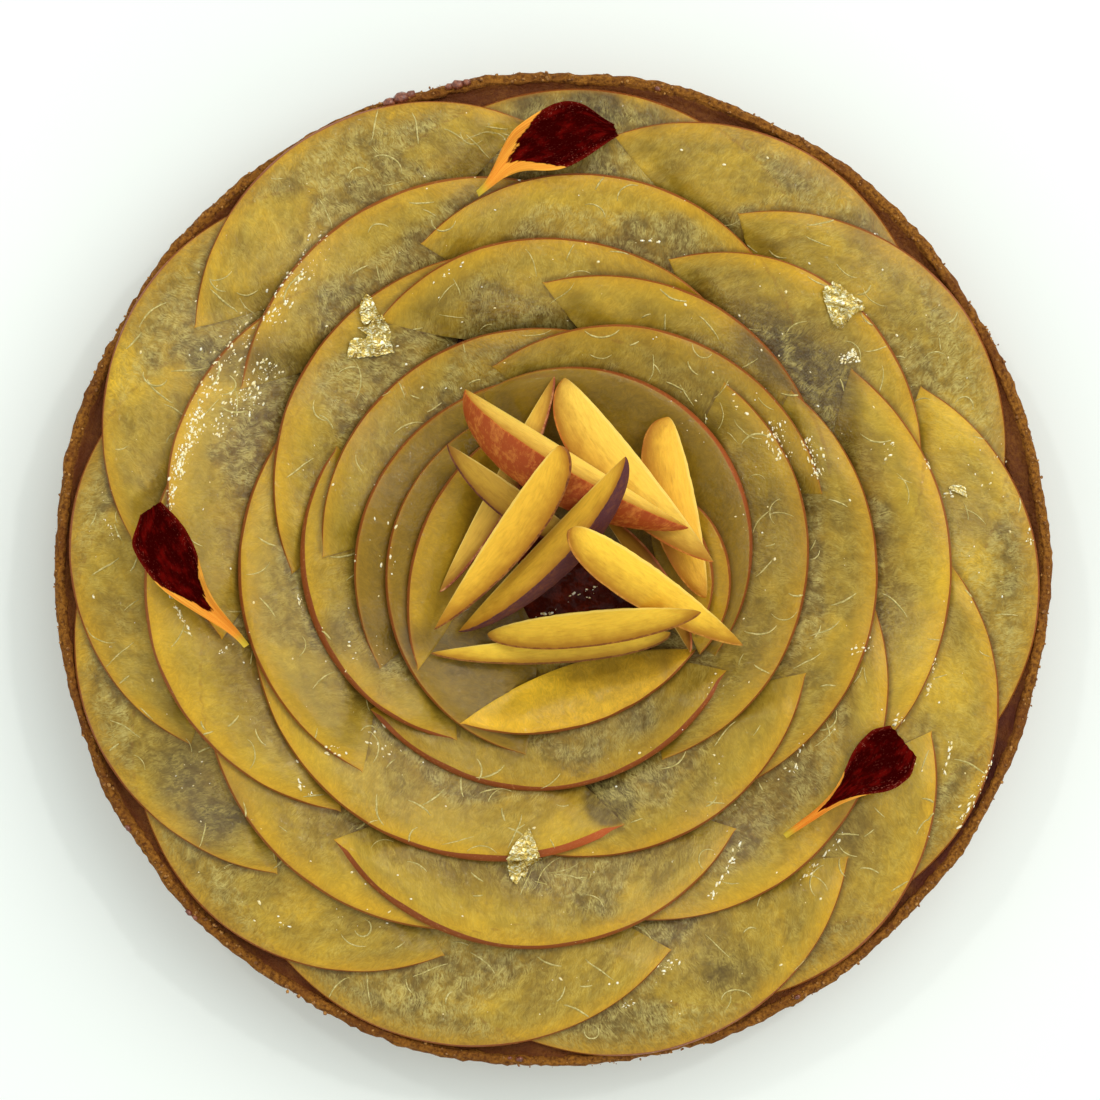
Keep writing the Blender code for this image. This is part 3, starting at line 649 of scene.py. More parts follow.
def slice_look():
    """Glazed flesh, darker where only jam lies below it and paler over other slices."""
    look = Look("peach_slice", roughness=0.45)
    place = look.fact("place", "Vector")
    across = look.axis(place, "Y")
    first = look.ramp(look.fact("cover_first"), -1.3, 1.0)
    second = look.ramp(look.fact("cover_second"), -1.4, 1.2)
    backing = look.plus(look.times(first, 0.65), look.times(second, 0.35))
    loose = look.warp(place, 0.32, 1.6)
    patches = look.cloud(place, 0.12, 3.0, 0.6)
    mottle = look.cloud(loose, 0.7, 3.0, 0.6)
    inner = look.ramp(look.plus(across, look.times(patches, 5.0)), 2.5, 8.0)

    fibres = slice_fibres(look, place, loose, inner, backing)
    body = slice_flesh(look, place, across, patches, inner, backing)
    cotton = look.stretched(loose, (2.8, 1.6, 1.0), 4.0, 0.65)
    shade = look.times(look.ramp(mottle, 0.25, 0.75, 0.80, 1.14),
                       look.ramp(cotton, 0.30, 0.70, 0.80, 1.22))
    calm = look.times(look.minus(shade, 1.0), look.ramp(backing, 0.1, 1.0, 1.0, 0.5))
    shade = look.times(look.plus(calm, 1.0), look.fact("lightness"))
    body = look.mix(body, shade, 1.0, "MULTIPLY")
    body = look.mix(body, look.between(*PEACH["fibre"], backing), look.times(fibres, 0.53))

    below = look.fact("under_edge")
    line = look.times(look.ramp(below, 0.45, 0.2), look.ramp(below, -0.35, -0.1))
    body = look.tint(body, PEACH["edge below"], look.times(line, 0.25))
    # Painted shadow of the slices above: darker just outside their skin edges
    above = look.ramp(look.fact("over_edge"), 1.1, 0.1, 0.0, 0.4)
    body = look.tint(body, PEACH["edge above"], above)
    tinge = look.tint(body, PEACH["tinge"], 0.6)
    body = look.mix(body, tinge, look.ramp(across, 1.4, 0.3, 0.0, 0.7))
    skin, outer = slice_skin(look, place)
    look.set(base_color=look.mix(body, skin, outer))

    relief = look.plus(look.times(fibres, 0.25), look.times(mottle, 0.6))
    look.set(normal=look.bump(relief, 0.12 * MM, 0.4), specular_ior_level=0.12)
    glaze_slice(look, outer)
    return look.material


def slice_fibres(look, place, loose, inner, backing):
    """Share of pale fibre: long and short lines from the skin inwards, and some between."""
    long = look.strands(loose, (2.4, 0.42, 1.0), 0.17)
    short = look.strands(look.warp(place, 1.1, 0.5), (3.4, 1.0, 1.0), 0.20)
    cross = look.strands(look.vector("ADD", loose, (31.0, 7.0, 0.0)), (1.1, 0.9, 1.0), 0.06)
    fibres = look.plus(look.times(long, 0.6), look.times(short, 0.4), look.times(cross, 0.4))
    tufts = look.cloud(look.warp(place, 0.5, 1.2), 0.42, 2.0, 0.6)
    fibres = look.times(fibres, look.ramp(tufts, 0.32, 0.68, 0.15, 1.0), look.fact("fibrous"))
    towards_stone = look.plus(look.times(inner, 0.8), 0.2)
    return look.times(fibres, towards_stone, look.ramp(backing, 0.1, 1.0, 1.0, 0.35))


def slice_flesh(look, place, across, patches, inner, backing):
    """Colour of the flesh before its fibres, edges and skin."""
    fibrous = look.fact("fibrous")
    margin = look.between(*PEACH["margin"], backing)
    middle = look.between(*PEACH["middle"], backing)
    body = look.mix(margin, middle, look.times(inner, look.plus(look.times(fibrous, 0.75), 0.25)))
    sunny = look.cloud(look.vector("ADD", place, (70.0, 20.0, 0.0)), 0.11)
    body = look.tint(body, PEACH["sunny"], look.ramp(sunny, 0.50, 0.72, 0.0, 0.4))
    glassy = look.times(look.ramp(patches, 0.58, 0.38), look.ramp(backing, 1.0, 0.0, 0.45, 1.0),
                        inner, look.plus(look.times(fibrous, 0.62), 0.05))
    body = look.tint(body, PEACH["glassy"], glassy)
    # Painted shade on the stone side where the next ring overlaps it, partly jam showing through
    deep = look.times(look.ramp(across, 5.0, 13.0), look.fact("stone_shade"), 0.5)
    body = look.tint(body, PEACH["stone side"], deep)
    tone = look.plus(look.fact("tone"), look.centred(patches, 0.4))
    body = look.tint(body, PEACH["golden"], look.ramp(tone, 0.1, 1.0, 0.0, 0.7))
    return look.tint(body, PEACH["dark"], look.ramp(tone, -0.1, -1.0, 0.0, 0.8))


def slice_skin(look, place):
    """Colour of the skin edge, and the ragged share that it takes of the surface."""
    redness = look.fact("redness")
    skin = look.between(*PEACH["skin"], look.ramp(redness, 0.2, 0.9))
    skin = look.tint(skin, PEACH["red skin"], look.ramp(redness, 1.0, 1.5))
    speck = look.stretched(place, (1.6, 3.0, 1.0), 3.0, 0.7)
    skin = look.tint(skin, PEACH["speck"], look.ramp(speck, 0.55, 0.78, 0.0, 0.6))
    return skin, look.ramp(look.plus(look.fact("skin"), look.centred(speck, 0.5)), 0.35, 0.65)


def glaze_slice(look, outer):
    """A clear film, thick and dimpled in the wet places and thin on the skin."""
    spot = look.position()
    wet = look.fact("wet")
    ripple = look.times(look.cloud(spot, 0.40), 0.9)
    dimple = look.times(look.cloud(spot, 1.7, 2.0, 0.6), look.plus(look.times(wet, 1.1), 0.06))
    bare = look.minus(1.0, look.times(outer, 0.8))
    weight = look.times(look.plus(look.times(wet, 0.7), 0.25), bare)
    look.set(coat_weight=weight, coat_roughness=0.03, coat_ior=1.45,
             coat_normal=look.bump(look.plus(ripple, dimple), 0.6 * MM))


def wedge_look(name):
    """Fresh flesh that darkens towards the skin and the thin tips, partly with painted shade, with painted
    light along the middle of its cut faces and a painted highlight on its ridge.
    """
    *colours, deepening_and_shade = WEDGE_COLOURS[name]
    flesh, skin_main, skin_second = (display(*colour) for colour in colours)
    deep = tuple(v * f for v, f in zip(flesh, DEEP_AND_SHADED_FLESH))
    light = tuple(min(v * f, 1.0) for v, f in zip(flesh, PAINTED_LIT_FLESH))
    look = Look("flesh_of_" + name)
    place = look.fact("place", "Vector")
    across = look.axis(place, "Y")
    share = look.fact("share")
    grain = look.stretched(place, (0.35, 1.6, 1.0), 3.0, 0.6)
    mottle = look.cloud(place, 0.35, 3.0, 0.6)
    uneven = look.plus(share, look.centred(mottle, 0.5))
    # Darker towards the skin: partly the deeper colour of the flesh there, partly painted shade
    body = look.mix(deep, flesh, look.ramp(uneven, -0.1, 0.75, 1 - deepening_and_shade, 1.0))
    body = look.mix(body, deep, look.ramp(grain, 0.45, 0.8, 0.0, 0.35))
    # Painted light along the middle of the cut faces
    body = look.mix(body, light, look.times(look.ramp(uneven, 0.5, 0.9), 0.5))
    # The ridge: partly pale stone flesh, partly a painted highlight
    ridge = look.ramp(look.plus(share, look.centred(grain, 0.10)), 0.90, 0.95)
    body = look.tint(body, PALE_AND_LIT_RIDGE, look.times(ridge, 0.4))
    body = look.mix(body, deep, look.ramp(across, 1.4, 0.3, 0.0, 0.7))
    thin = look.plus(look.fact("thin"), look.centred(mottle, 0.3))
    body = look.mix(body, deep, look.ramp(thin, 0.80, 0.10, 0.0, 0.85))
    streak = look.strands(look.warp(place, 0.3, 0.6), (0.16, 1.5, 1.0), 0.10)
    body = look.mix(body, deep, look.times(streak, 0.10))

    speck = look.cloud(place, 1.1, 4.0, 0.7)
    blotch = look.cloud(place, 0.28, 3.0, 0.6)
    freckled = look.plus(look.times(speck, 0.6), look.times(blotch, 0.5))
    skin = look.mix(skin_main, skin_second, look.ramp(freckled, 0.5, 0.68))
    dots = look.ramp(look.cells(place, 1.0), 0.16, 0.08, 0.0, 0.35)
    skin = look.mix(skin, tuple(v * PALE_DOTS for v in skin_second), dots)
    outer = look.ramp(look.plus(across, look.centred(speck, 0.3)), 0.42, 0.24)
    relief = look.plus(look.times(grain, 0.7), look.times(speck, 0.4))
    look.set(base_color=look.mix(body, skin, outer), roughness=look.ramp(outer, 0.0, 1.0, 0.42, 0.55),
             normal=look.bump(relief, 0.15 * MM, 0.6), specular_ior_level=0.15,
             subsurface_weight=0.12, subsurface_radius=(2.2 * MM, 1.2 * MM, 0.4 * MM),
             subsurface_scale=1.0)
    return look.material


def crust_look():
    """Baked pastry: sandy and uneven with painted shade in its hollows, dark inside the rim and stained by
    the jam.
    """
    look = Look("baked_crust")
    spot = look.position()
    grain = look.cloud(spot, 1.3, 4.0, 0.7)
    sand = look.cloud(spot, 3.2, 3.0, 0.7)
    bake = look.cloud(spot, 0.09, 3.0, 0.6)
    body = look.between(*CRUST["body"], look.ramp(grain, 0.35, 0.7))
    body = look.tint(body, CRUST["sand"], look.ramp(sand, 0.58, 0.78, 0.0, 0.6))
    # Painted shade in the hollows of the grain that shapes the bump
    body = look.tint(body, CRUST["shade in hollows"], look.ramp(grain, 0.46, 0.30, 0.0, 0.7))
    body = look.tint(body, CRUST["browned"], look.ramp(bake, 0.45, 0.7, 0.0, 0.55))
    inside = look.fact("inside")
    body = look.tint(body, CRUST["inside"], look.times(inside, look.ramp(bake, 0.3, 0.7, 0.65, 0.9)))
    soaked = look.ramp(look.cloud(spot, 0.35, 3.0), 0.3, 0.55)
    body = look.tint(body, CRUST["stain"], look.times(look.fact("stained"), soaked, 0.85))
    body = look.tint(body, CRUST["base"], look.ramp(look.axis(spot, "Z"), 6.0, 0.5, 0.0, 0.35))
    relief = look.plus(grain, look.times(sand, 0.5))
    look.set(base_color=body, normal=look.bump(relief, 0.5 * MM, 0.8),
             roughness=look.ramp(inside, 0.0, 1.0, 0.82, 0.45), specular_ior_level=0.15)
    return look.material


def jam_look():
    """Dark, lumpy and wet."""
    look = Look("raspberry_jam", roughness=0.3, specular_ior_level=0.05, coat_weight=0.3,
                coat_roughness=0.03, coat_ior=1.3)
    spot = look.position()
    lumps = look.cloud(spot, 0.35, 3.0, 0.6)
    look.set(base_color=look.between(*JAM, look.ramp(lumps, 0.42, 0.75)),
             normal=look.bump(look.cloud(spot, 0.8), 1.0 * MM, 0.9))
    return look.material


def petal_look():
    """Dark red velvet with a dusty margin, and yellow at the tube."""
    look = Look("marigold_petal", roughness=0.5, specular_ior_level=0.0)
    place = look.fact("place", "Vector")
    along = look.axis(place, "X")
    wide = look.math("ABSOLUTE", look.axis(place, "Y"))
    rows = look.stretched(place, (1.2, 30.0, 1.0))
    patch = look.stretched(place, (9.0, 3.2, 1.0), 3.0, 0.6)
    dark = look.between(*PETAL["dark"], look.ramp(patch, 0.44, 0.76))
    dark = look.tint(dark, PETAL["margin"], look.ramp(wide, 0.80, 1.0, 0.0, 0.5))
    dark = look.tint(dark, PETAL["vein"], look.ramp(rows, 0.5, 0.75, 0.0, 0.1))
    dust = look.ramp(look.stretched(place, (70.0, 24.0, 1.0)), 0.60, 0.70)
    dark = look.tint(dark, PETAL["dust"], look.times(dust, look.ramp(wide, 0.5, 0.9, 0.1, 0.5)))
    yellow = look.between(*PETAL["yellow"], look.ramp(rows, 0.4, 0.7))
    yellow = look.tint(yellow, PETAL["tube"], look.ramp(along, 0.12, 0.02))
    edge = look.plus(along, look.centred(patch, 0.22))
    edge = look.minus(edge, look.times(look.math("POWER", wide, 1.8), 0.32))
    look.set(base_color=look.mix(yellow, dark, look.ramp(edge, 0.27, 0.30)),
             normal=look.bump(rows, 0.06 * MM, 0.4))
    return look.material


def gold_look():
    """Crumpled leaf with a painted highlight on its wrinkles and painted shade in its folds."""
    look = Look("gold_leaf", metallic=0.9, roughness=0.32)
    spot = look.warp(look.position(), 0.9, 0.8)
    folds = look.strands(spot, (0.9, 1.5, 1.0), 0.16)
    wrinkle = look.stretched(spot, (1.4, 2.4, 1.0), 3.0, 0.65)
    # Darker to lighter, then a painted highlight, on the wrinkles that also shape the bump
    body = look.between(*GOLD["body"], look.ramp(wrinkle, 0.30, 0.46))
    body = look.tint(body, GOLD["bright"], look.ramp(wrinkle, 0.49, 0.60))
    relief = look.plus(look.times(folds, 0.3), look.times(wrinkle, 0.7))
    # Painted shade in the folds
    look.set(base_color=look.tint(body, GOLD["fold"], look.times(folds, 0.35)),
             normal=look.bump(relief, 0.4 * MM, 0.7))
    return look.material


def plain_look(name):
    """A small thing, mottled between its two colours."""
    low, high, roughness, coat = SMALL_LOOKS[name]
    look = Look(name, roughness=roughness, coat_weight=coat, coat_roughness=0.05)
    shade = look.cloud(look.position(), 1.6, 2.0, 0.6)
    look.set(base_color=look.between(low, high, look.ramp(shade, 0.38, 0.68)))
    return look.material


# Pieces

def add_piece(name, points, faces, look, nodes=(), sharp=None, facts=None):
    """Adds a smooth mesh piece that rides on the tart, with its named facts per point."""
    mesh = bpy.data.meshes.new(name)
    mesh.from_pydata([tuple(p) for p in points], [], [tuple(f) for f in faces])
    mesh.validate()
    mesh.polygons.foreach_set("use_smooth", [True] * len(mesh.polygons))
    if sharp is not None:
        mesh.set_sharp_from_angle(angle=math.radians(sharp))
    for key, values in (facts or {}).items():
        values = np.asarray(values, dtype=np.float32)
        kind, field = ("FLOAT_VECTOR", "vector") if values.ndim == 2 else ("FLOAT", "value")
        if values.ndim == 0:
            values = np.full(len(points), values)
        mesh.attributes.new(key, kind, "POINT").data.foreach_set(field, values.ravel())
    mesh.materials.append(look)
    made = bpy.data.objects.new(name, mesh)
    bpy.context.scene.collection.objects.link(made)
    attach(made, "root")
    if nodes:
        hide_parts(*nodes)


def flipped(faces):
    """The same faces seen from their other side."""
    return [(face[0], *face[:0:-1]) for face in faces]


def disc_faces(size, rings, closed=False):
    """Faces over a middle point and rings of points, with a last point if it is closed."""
    last = 1 + (rings - 1) * size
    faces = []
    for k in range(size):
        after = (k + 1) % size
        faces.append((0, 1 + k, 1 + after))
        for a in range(1, last, size):
            b = a + size
            faces.append((a + k, b + k, b + after, a + after))
        if closed:
            faces.append((last + k, last + size, last + after))
    return faces


def grid_faces(columns, rows, closed=False):
    """Faces over columns of points, running on to the first column if it is closed."""
    faces = []
    for i in range(columns if closed else columns - 1):
        a, b = i * rows, (i + 1) % columns * rows
        faces += [(a + k, b + k, b + k + 1, a + k + 1) for k in range(rows - 1)]
    return faces


def thin_sheet(points, faces, border, thickness):
    """A closed sheet from its upper side and the pairs of points along its border."""
    under = len(points)
    lower = [tuple(under + v for v in face) for face in flipped(faces)]
    sides = [(b, a, under + a, under + b) for a, b in border]
    return np.vstack([points, points - np.array((0, 0, thickness))]), faces + lower + sides


def loft(loops, facts=None):
    """A closed skin over equal loops of points, with a point and its facts at both ends."""
    points = [loops[0].mean(axis=0), *np.concatenate(loops), loops[-1].mean(axis=0)]
    for fact, values in (facts or {}).items():
        facts[fact] = [values[0], *values, values[-1]]
    return np.array(points), flipped(disc_faces(len(loops[0]), len(loops), True))


def joined(meshes):
    """Points and faces of several meshes as one."""
    points, faces = [], []
    for more, sides in meshes:
        faces += [tuple(len(points) + v for v in side) for side in sides]
        points += list(more)
    return points, faces


def mesh_of(name):
    """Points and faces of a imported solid."""
    mesh = NODES[name].data
    return [tuple(v.co) for v in mesh.vertices], [tuple(p.vertices) for p in mesh.polygons]


def corners_of(name):
    return np.array(mesh_of(name)[0])


def height_below(surface, x, y, start):
    """Height of a surface straight below a starting height, or None."""
    hit = surface.ray_cast(Vector((x, y, start)), Vector((0, 0, -1)))[0]
    return None if hit is None else hit.z


def smooth_rise(values, steps):
    """Smooth curve through equally spaced values, read at steps from 0 to 1."""
    values = np.asarray(values, float)
    last = len(values) - 1
    padded = np.concatenate([[2 * values[0] - values[1]], values, [2 * values[-1] - values[-2]]])
    at = np.clip(np.asarray(steps) * last, 0, last - 1e-9)
    i = at.astype(int)
    t = (at - i).reshape(-1, *[1] * (values.ndim - 1))
    p0, p1, p2, p3 = (padded[i + k] for k in range(4))
    return p1 + 0.5 * t * (p2 - p0 + t * (2 * p0 - 5 * p1 + 4 * p2 - p3 + t * (3 * (p1 - p2) + p3 - p0)))


def ease(value):
    """Smooth step from 0 to 1 of a value or an array."""
    value = np.clip(value, 0, 1)
    return value * value * (3 - 2 * value)


def round_spot(radius, turn):
    """Plan point at a radius and a turn round the middle."""
    return radius * math.cos(turn), radius * math.sin(turn)


# Peach slices

def polar(angle, distance):
    """Plan point from degrees and millimetres."""
    return np.array(round_spot(distance * MM, math.radians(angle)))


class Slice:
    """Plan of a half-moon slice: its skin edge is an arc, its stone side a shallow curve."""

    def __init__(self, row):
        first, crest, last = polar(*row[0:2]), polar(*row[2:4]), polar(*row[4:6])
        ab, ac = crest - first, last - first
        cross = 2 * (ab[0] * ac[1] - ab[1] * ac[0])
        x = (ac[1] * ab @ ab - ab[1] * ac @ ac) / cross
        y = (ab[0] * ac @ ac - ac[0] * ab @ ab) / cross
        self.first, self.chord, self.crest_angle = first, last - first, row[2]
        self.centre = first + np.array((x, y))
        self.radius = np.linalg.norm(first - self.centre)
        self.start = math.atan2(*(first - self.centre)[::-1])
        end = math.atan2(*(last - self.centre)[::-1])
        self.sweep = (end - self.start) % math.tau
        self.length = self.radius * self.sweep
        self.inward = np.array((-self.chord[1], self.chord[0]))

    def grid(self, alongs, acrosses):
        """Plan points: along from tip to tip, across from the stone side to the skin."""
        alongs = np.asarray(alongs)
        turn = self.start + self.sweep * alongs
        skin = self.centre + self.radius * np.stack((np.cos(turn), np.sin(turn)), axis=1)
        half = self.sweep / 2
        share = (0.5 - 0.5 * np.sin(half * (1 - 2 * alongs)) / math.sin(half))[:, None]
        stone = self.first + self.chord * share + self.inward * PIT_BULGE * 4 * share * (1 - share)
        across = np.asarray(acrosses)[None, :, None]
        return stone[:, None] + (skin - stone)[:, None] * across

    def inside(self, spots):
        """Distances from spots to its skin edge and stone side, in mm, positive within it."""
        from_arc = self.radius - np.linalg.norm(spots - self.centre, axis=-1)
        long = self.chord @ self.chord
        share = ((spots - self.first) @ self.chord) / long
        depth = ((spots - self.first) @ self.inward) / long
        bound = PIT_BULGE * 4 * share * (1 - share)
        slope = PIT_BULGE * 4 * (1 - 2 * share)
        from_stone = (bound - depth) * math.sqrt(long) / np.sqrt(1 + slope ** 2)
        return from_arc / MM, from_stone / MM


SLICES = {(ring, k): Slice(row) for ring, rows in enumerate(RINGS, 1) for k, row in enumerate(rows, 1)}


def slice_name(key):
    return f"slice_{key[0]}_{key[1]:02d}"


def lies_on(upper, lower):
    """True if the first slice was laid over the second wherever they overlap."""
    if upper[0] != lower[0]:
        return upper[0] > lower[0]
    if upper[0] in CLOSED_RINGS:
        turn = SLICES[upper].crest_angle - SLICES[lower].crest_angle
        return (turn + 180) % 360 - 180 < 0
    return upper[1] > lower[1]


class Pile:
    """The slices laid so far, each with its plan box and its surface."""

    def __init__(self):
        self.laid = {}
        for key in SLICES:
            self.lay(key, *mesh_of(slice_name(key)))

    def lay(self, key, points, faces):
        points = np.asarray(points)
        surface = BVHTree.FromPolygons(points.tolist(), faces)
        self.laid[key] = points.min(axis=0), points.max(axis=0), surface

    def height(self, x, y, start, keys):
        """Height of the highest of these slices at a spot, seen from the starting height."""
        found = JAM_TOP
        for key in keys:
            low, high, surface = self.laid[key]
            if low[0] <= x <= high[0] and low[1] <= y <= high[1]:
                height = height_below(surface, x, y, start)
                if height is not None:
                    found = max(found, height)
        return found


def away_from(spots, x, y, reach):
    """Distance of each spot from a place, in shares of its reach."""
    return np.linalg.norm(spots / MM - np.array((x, y)), axis=-1) / reach


def wetness(spots):
    """How thick and dimpled the glaze lies, from 0 to 1."""
    total = np.full(len(spots), LEAST_WET)
    for x, y, reach in WET_SPOTS:
        total = np.maximum(total, np.clip(1 + FULLY_WET - away_from(spots, x, y, reach), 0, 1))
    return total


def tone_of(spots):
    """How much darker, below 0, or more golden the flesh looks."""
    total = np.zeros(len(spots))
    for x, y, reach, change in TONE_SPOTS:
        total += change * ease(1 - away_from(spots, x, y, reach))
    return total


def surroundings(key, spots):
    """Distances in millimetres to the edges of the slices below and above, as facts."""
    covers = np.full((2, len(spots)), -FAR_OFF)
    under_edge = over_edge = np.full(len(spots), FAR_OFF)
    for other in SLICES:
        if other == key:
            continue
        from_arc, from_stone = SLICES[other].inside(spots)
        before_arc = np.where(from_stone > 0, -from_arc, FAR_OFF)
        if lies_on(key, other):
            within = np.minimum(from_arc, from_stone)
            covers = np.vstack([covers, within])
            outside = np.where(from_arc < 0, np.minimum(under_edge, before_arc), under_edge)
            under_edge = np.where(within > 0, from_arc, outside)
        else:
            over_edge = np.minimum(over_edge, before_arc)
    covers = -np.sort(-covers, axis=0)
    facts = {"cover_first": covers[0], "cover_second": covers[1],
             "under_edge": under_edge, "over_edge": over_edge}
    return {fact: np.clip(values, -EDGE_REACH, EDGE_REACH) for fact, values in facts.items()}


def solid_heights(name, plan):
    """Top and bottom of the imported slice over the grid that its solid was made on."""
    coarse = plan.grid(np.linspace(TIP_CUT, 1 - TIP_CUT, SLICE_COLUMNS + 1),
                       np.linspace(0, 1, SLICE_ROWS + 1))
    corners = corners_of(name)
    top = np.zeros(coarse.shape[:2])
    bottom = np.zeros(coarse.shape[:2])
    for i, j in np.ndindex(top.shape):
        away = np.linalg.norm(corners[:, :2] - coarse[i, j], axis=1)
        heights = corners[away < away.min() + SAME_CORNER, 2]
        top[i, j], bottom[i, j] = heights.max(), heights.min()
    return top, bottom


def fine_steps():
    """Steps from tip to tip, closer together near the tips."""
    bunched = 0.5 - 0.5 * np.cos(np.linspace(FIRST_STEP, 1, FINE_COLUMNS // 2) * math.pi / 2)
    bunched = np.concatenate([bunched, 1 - bunched[-2::-1]])
    even = np.linspace(bunched[0], bunched[-1], len(bunched))
    return BUNCHING * bunched + (1 - BUNCHING) * even


def slice_section(width, wide):
    """Spots round a slice: shares of its breadth, drops from top to base, shares of skin."""
    high = 1 - min(width, WIDEST_SKIN * wide) / wide
    edge = min(STONE_EDGE, NARROW_EDGE * wide) / wide
    spots = [(share, 0.0, 0.0) for share in np.linspace(edge, high, FINE_ROWS)]
    spots += [(high + share * (1 - high), drop, 1.0) for share, drop in SKIN_EDGE]
    spots += [(share, 1.0, UNDER_SKIN) for share in (1 - UNDERSIDE_START * (1 - high), *UNDERSIDE)]
    spots += [(0.0, drop, 0.0) for drop in STONE_DROPS]
    return np.array(spots).T


def thinned(shares, wide, from_tip):
    """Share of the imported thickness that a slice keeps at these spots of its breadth."""
    body = STONE_BODY + (1 - STONE_BODY) * ease(shares * wide / STONE_TAPER)
    body -= SHOULDER_DROP * (1 - ease((1 - shares) * wide / SHOULDER))
    body *= TIP_BODY + (1 - TIP_BODY) * ease(from_tip / TIP_TAPER)
    return np.maximum(body, LEAST_BODY)


def settle(upper, flat, loose, pile, lower_keys):
    """Lets an upper side down onto the slices below it, as far as each spot is loose."""
    for j in np.flatnonzero(loose > 0.01):
        rest = pile.height(*flat[j], upper[j] + SEEN_FROM, lower_keys) + FILM
        upper[j] += (max(rest, upper[j] - MAX_SAG) - upper[j]) * loose[j]


def build_slice(key, look, pile):
    """A curved lens after its solid, laid down on the slices below it."""
    ring, number = key
    name, plan = slice_name(key), SLICES[key]
    lower_keys = [other for other in SLICES if lies_on(key, other)]
    draw = random.Random(100 * ring + number)
    alongs = fine_steps()
    within_solid = (alongs - TIP_CUT) / (1 - 2 * TIP_CUT)
    tops, bottoms = (smooth_rise(side, within_solid) for side in solid_heights(name, plan))
    widths, redness = smooth_rise(SKIN.get(key, PLAIN_SKIN), alongs).T
    ends = plan.grid(alongs, (0.0, 1.0))
    breadths = np.linalg.norm(ends[:, 1] - ends[:, 0], axis=1)
    offset = draw.uniform(0, 500)
    loops, facts = [], {"place": [], "skin": [], "redness": []}
    for i, along in enumerate(alongs):
        wide = breadths[i]
        from_tip = min(along, 1 - along) * plan.length
        ruffle = 1 + RUFFLE * noise.noise(Vector((along * RUFFLES, offset, 0)))
        shares, drops, skin = slice_section(widths[i] * MM * ruffle, wide)
        upper, lower = smooth_rise(tops[i], shares), smooth_rise(bottoms[i], shares)
        upper = lower + (upper - lower) * thinned(shares, wide, from_tip)
        flat = plan.grid([along], shares)[0]
        loose = 1 - np.minimum(ease(shares * wide / LAID_FLAT), ease(from_tip / (2 * LAID_FLAT)))
        settle(upper, flat, loose, pile, lower_keys)
        lower = np.minimum(lower - SINK, upper - SINK)
        loops.append(np.column_stack((flat, upper * (1 - drops) + lower * drops)))
        facts["place"] += [(plan.length * along / MM, (1 - s) * wide / MM, offset) for s in shares]
        facts["skin"] += list(skin)
        facts["redness"] += [redness[i]] * len(shares)
    points, faces = loft(loops, facts)
    pile.lay(key, points, faces)
    spots = points[:, :2]
    facts |= surroundings(key, spots)
    facts |= {"wet": wetness(spots), "tone": tone_of(spots)}
    fibrous, lightness, facts["stone_shade"] = RING_LOOKS[ring]
    facts["lightness"] = lightness * (LIGHT_SLICES.get(key, 1.0) * draw.uniform(*LIGHTNESS_SPREAD))
    facts["fibrous"] = fibrous * draw.uniform(*FIBROUS_SPREAD)
    add_piece(name + "_flesh", points, faces, look, [name], sharp=50, facts=facts)


# Peach wedges

def wedge_section(spread, rise):
    """Section of a wedge, ridge up, in shares of its depth: (x, z, across) from the skin."""
    half = math.radians(spread) / 2
    arc = [(math.sin(a), rise - math.cos(a), 0.0) for a in np.linspace(-half, half, SKIN_STEPS)]
    cuts = []
    for side in (1, -1):
        cut = []
        for q in np.linspace(0, LAST_CUT_STEP, CUT_STEPS)[1:]:
            bulge = CUT_BULGE * math.sin(math.pi * q)
            x = side * (math.sin(half) * (1 - q) + bulge * math.cos(half))
            cut.append((x, rise - math.cos(half) * (1 - q) + bulge * math.sin(half), q))
        cuts.append(cut)
    return arc + cuts[0] + cuts[1][::-1]


def fullness(t, tapers):
    """Size of a wedge's section at t, from -1 at its first tip to 1 at its last one."""
    first, last = tapers
    widest = (first - last) / (first + last)
    size = max(1 + t, 0) ** first * max(1 - t, 0) ** last
    return size / ((1 + widest) ** first * (1 - widest) ** last)


def wedge_place(name):
    """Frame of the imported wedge, X along it and Z away from its skin, and its length."""
    first, last, roll = WEDGES[name][:3]
    start = Vector(first) * MM
    run = Vector(last) * MM - start
    forward = np.array(run.normalized())
    corners = corners_of(name)
    sideways = (corners[:, :2] - np.array(start)) @ np.array((-forward[1], forward[0]))
    corners = corners[np.abs(sideways) < ON_LINE]
    travel = (corners[:, :2] - np.array(start)) @ forward
    low, high = corners[travel.argmin()], corners[travel.argmax()]
    rise = math.atan2(high[2] - low[2], travel.max() - travel.min())
    place = Matrix.Translation(Vector((low + high) / 2))
    for angle, axis in ((math.atan2(run.y, run.x), "Z"), (-rise, "Y"), (-math.radians(roll), "X")):
        place = place @ Matrix.Rotation(angle, 4, axis)
    return place, np.linalg.norm(high - low)


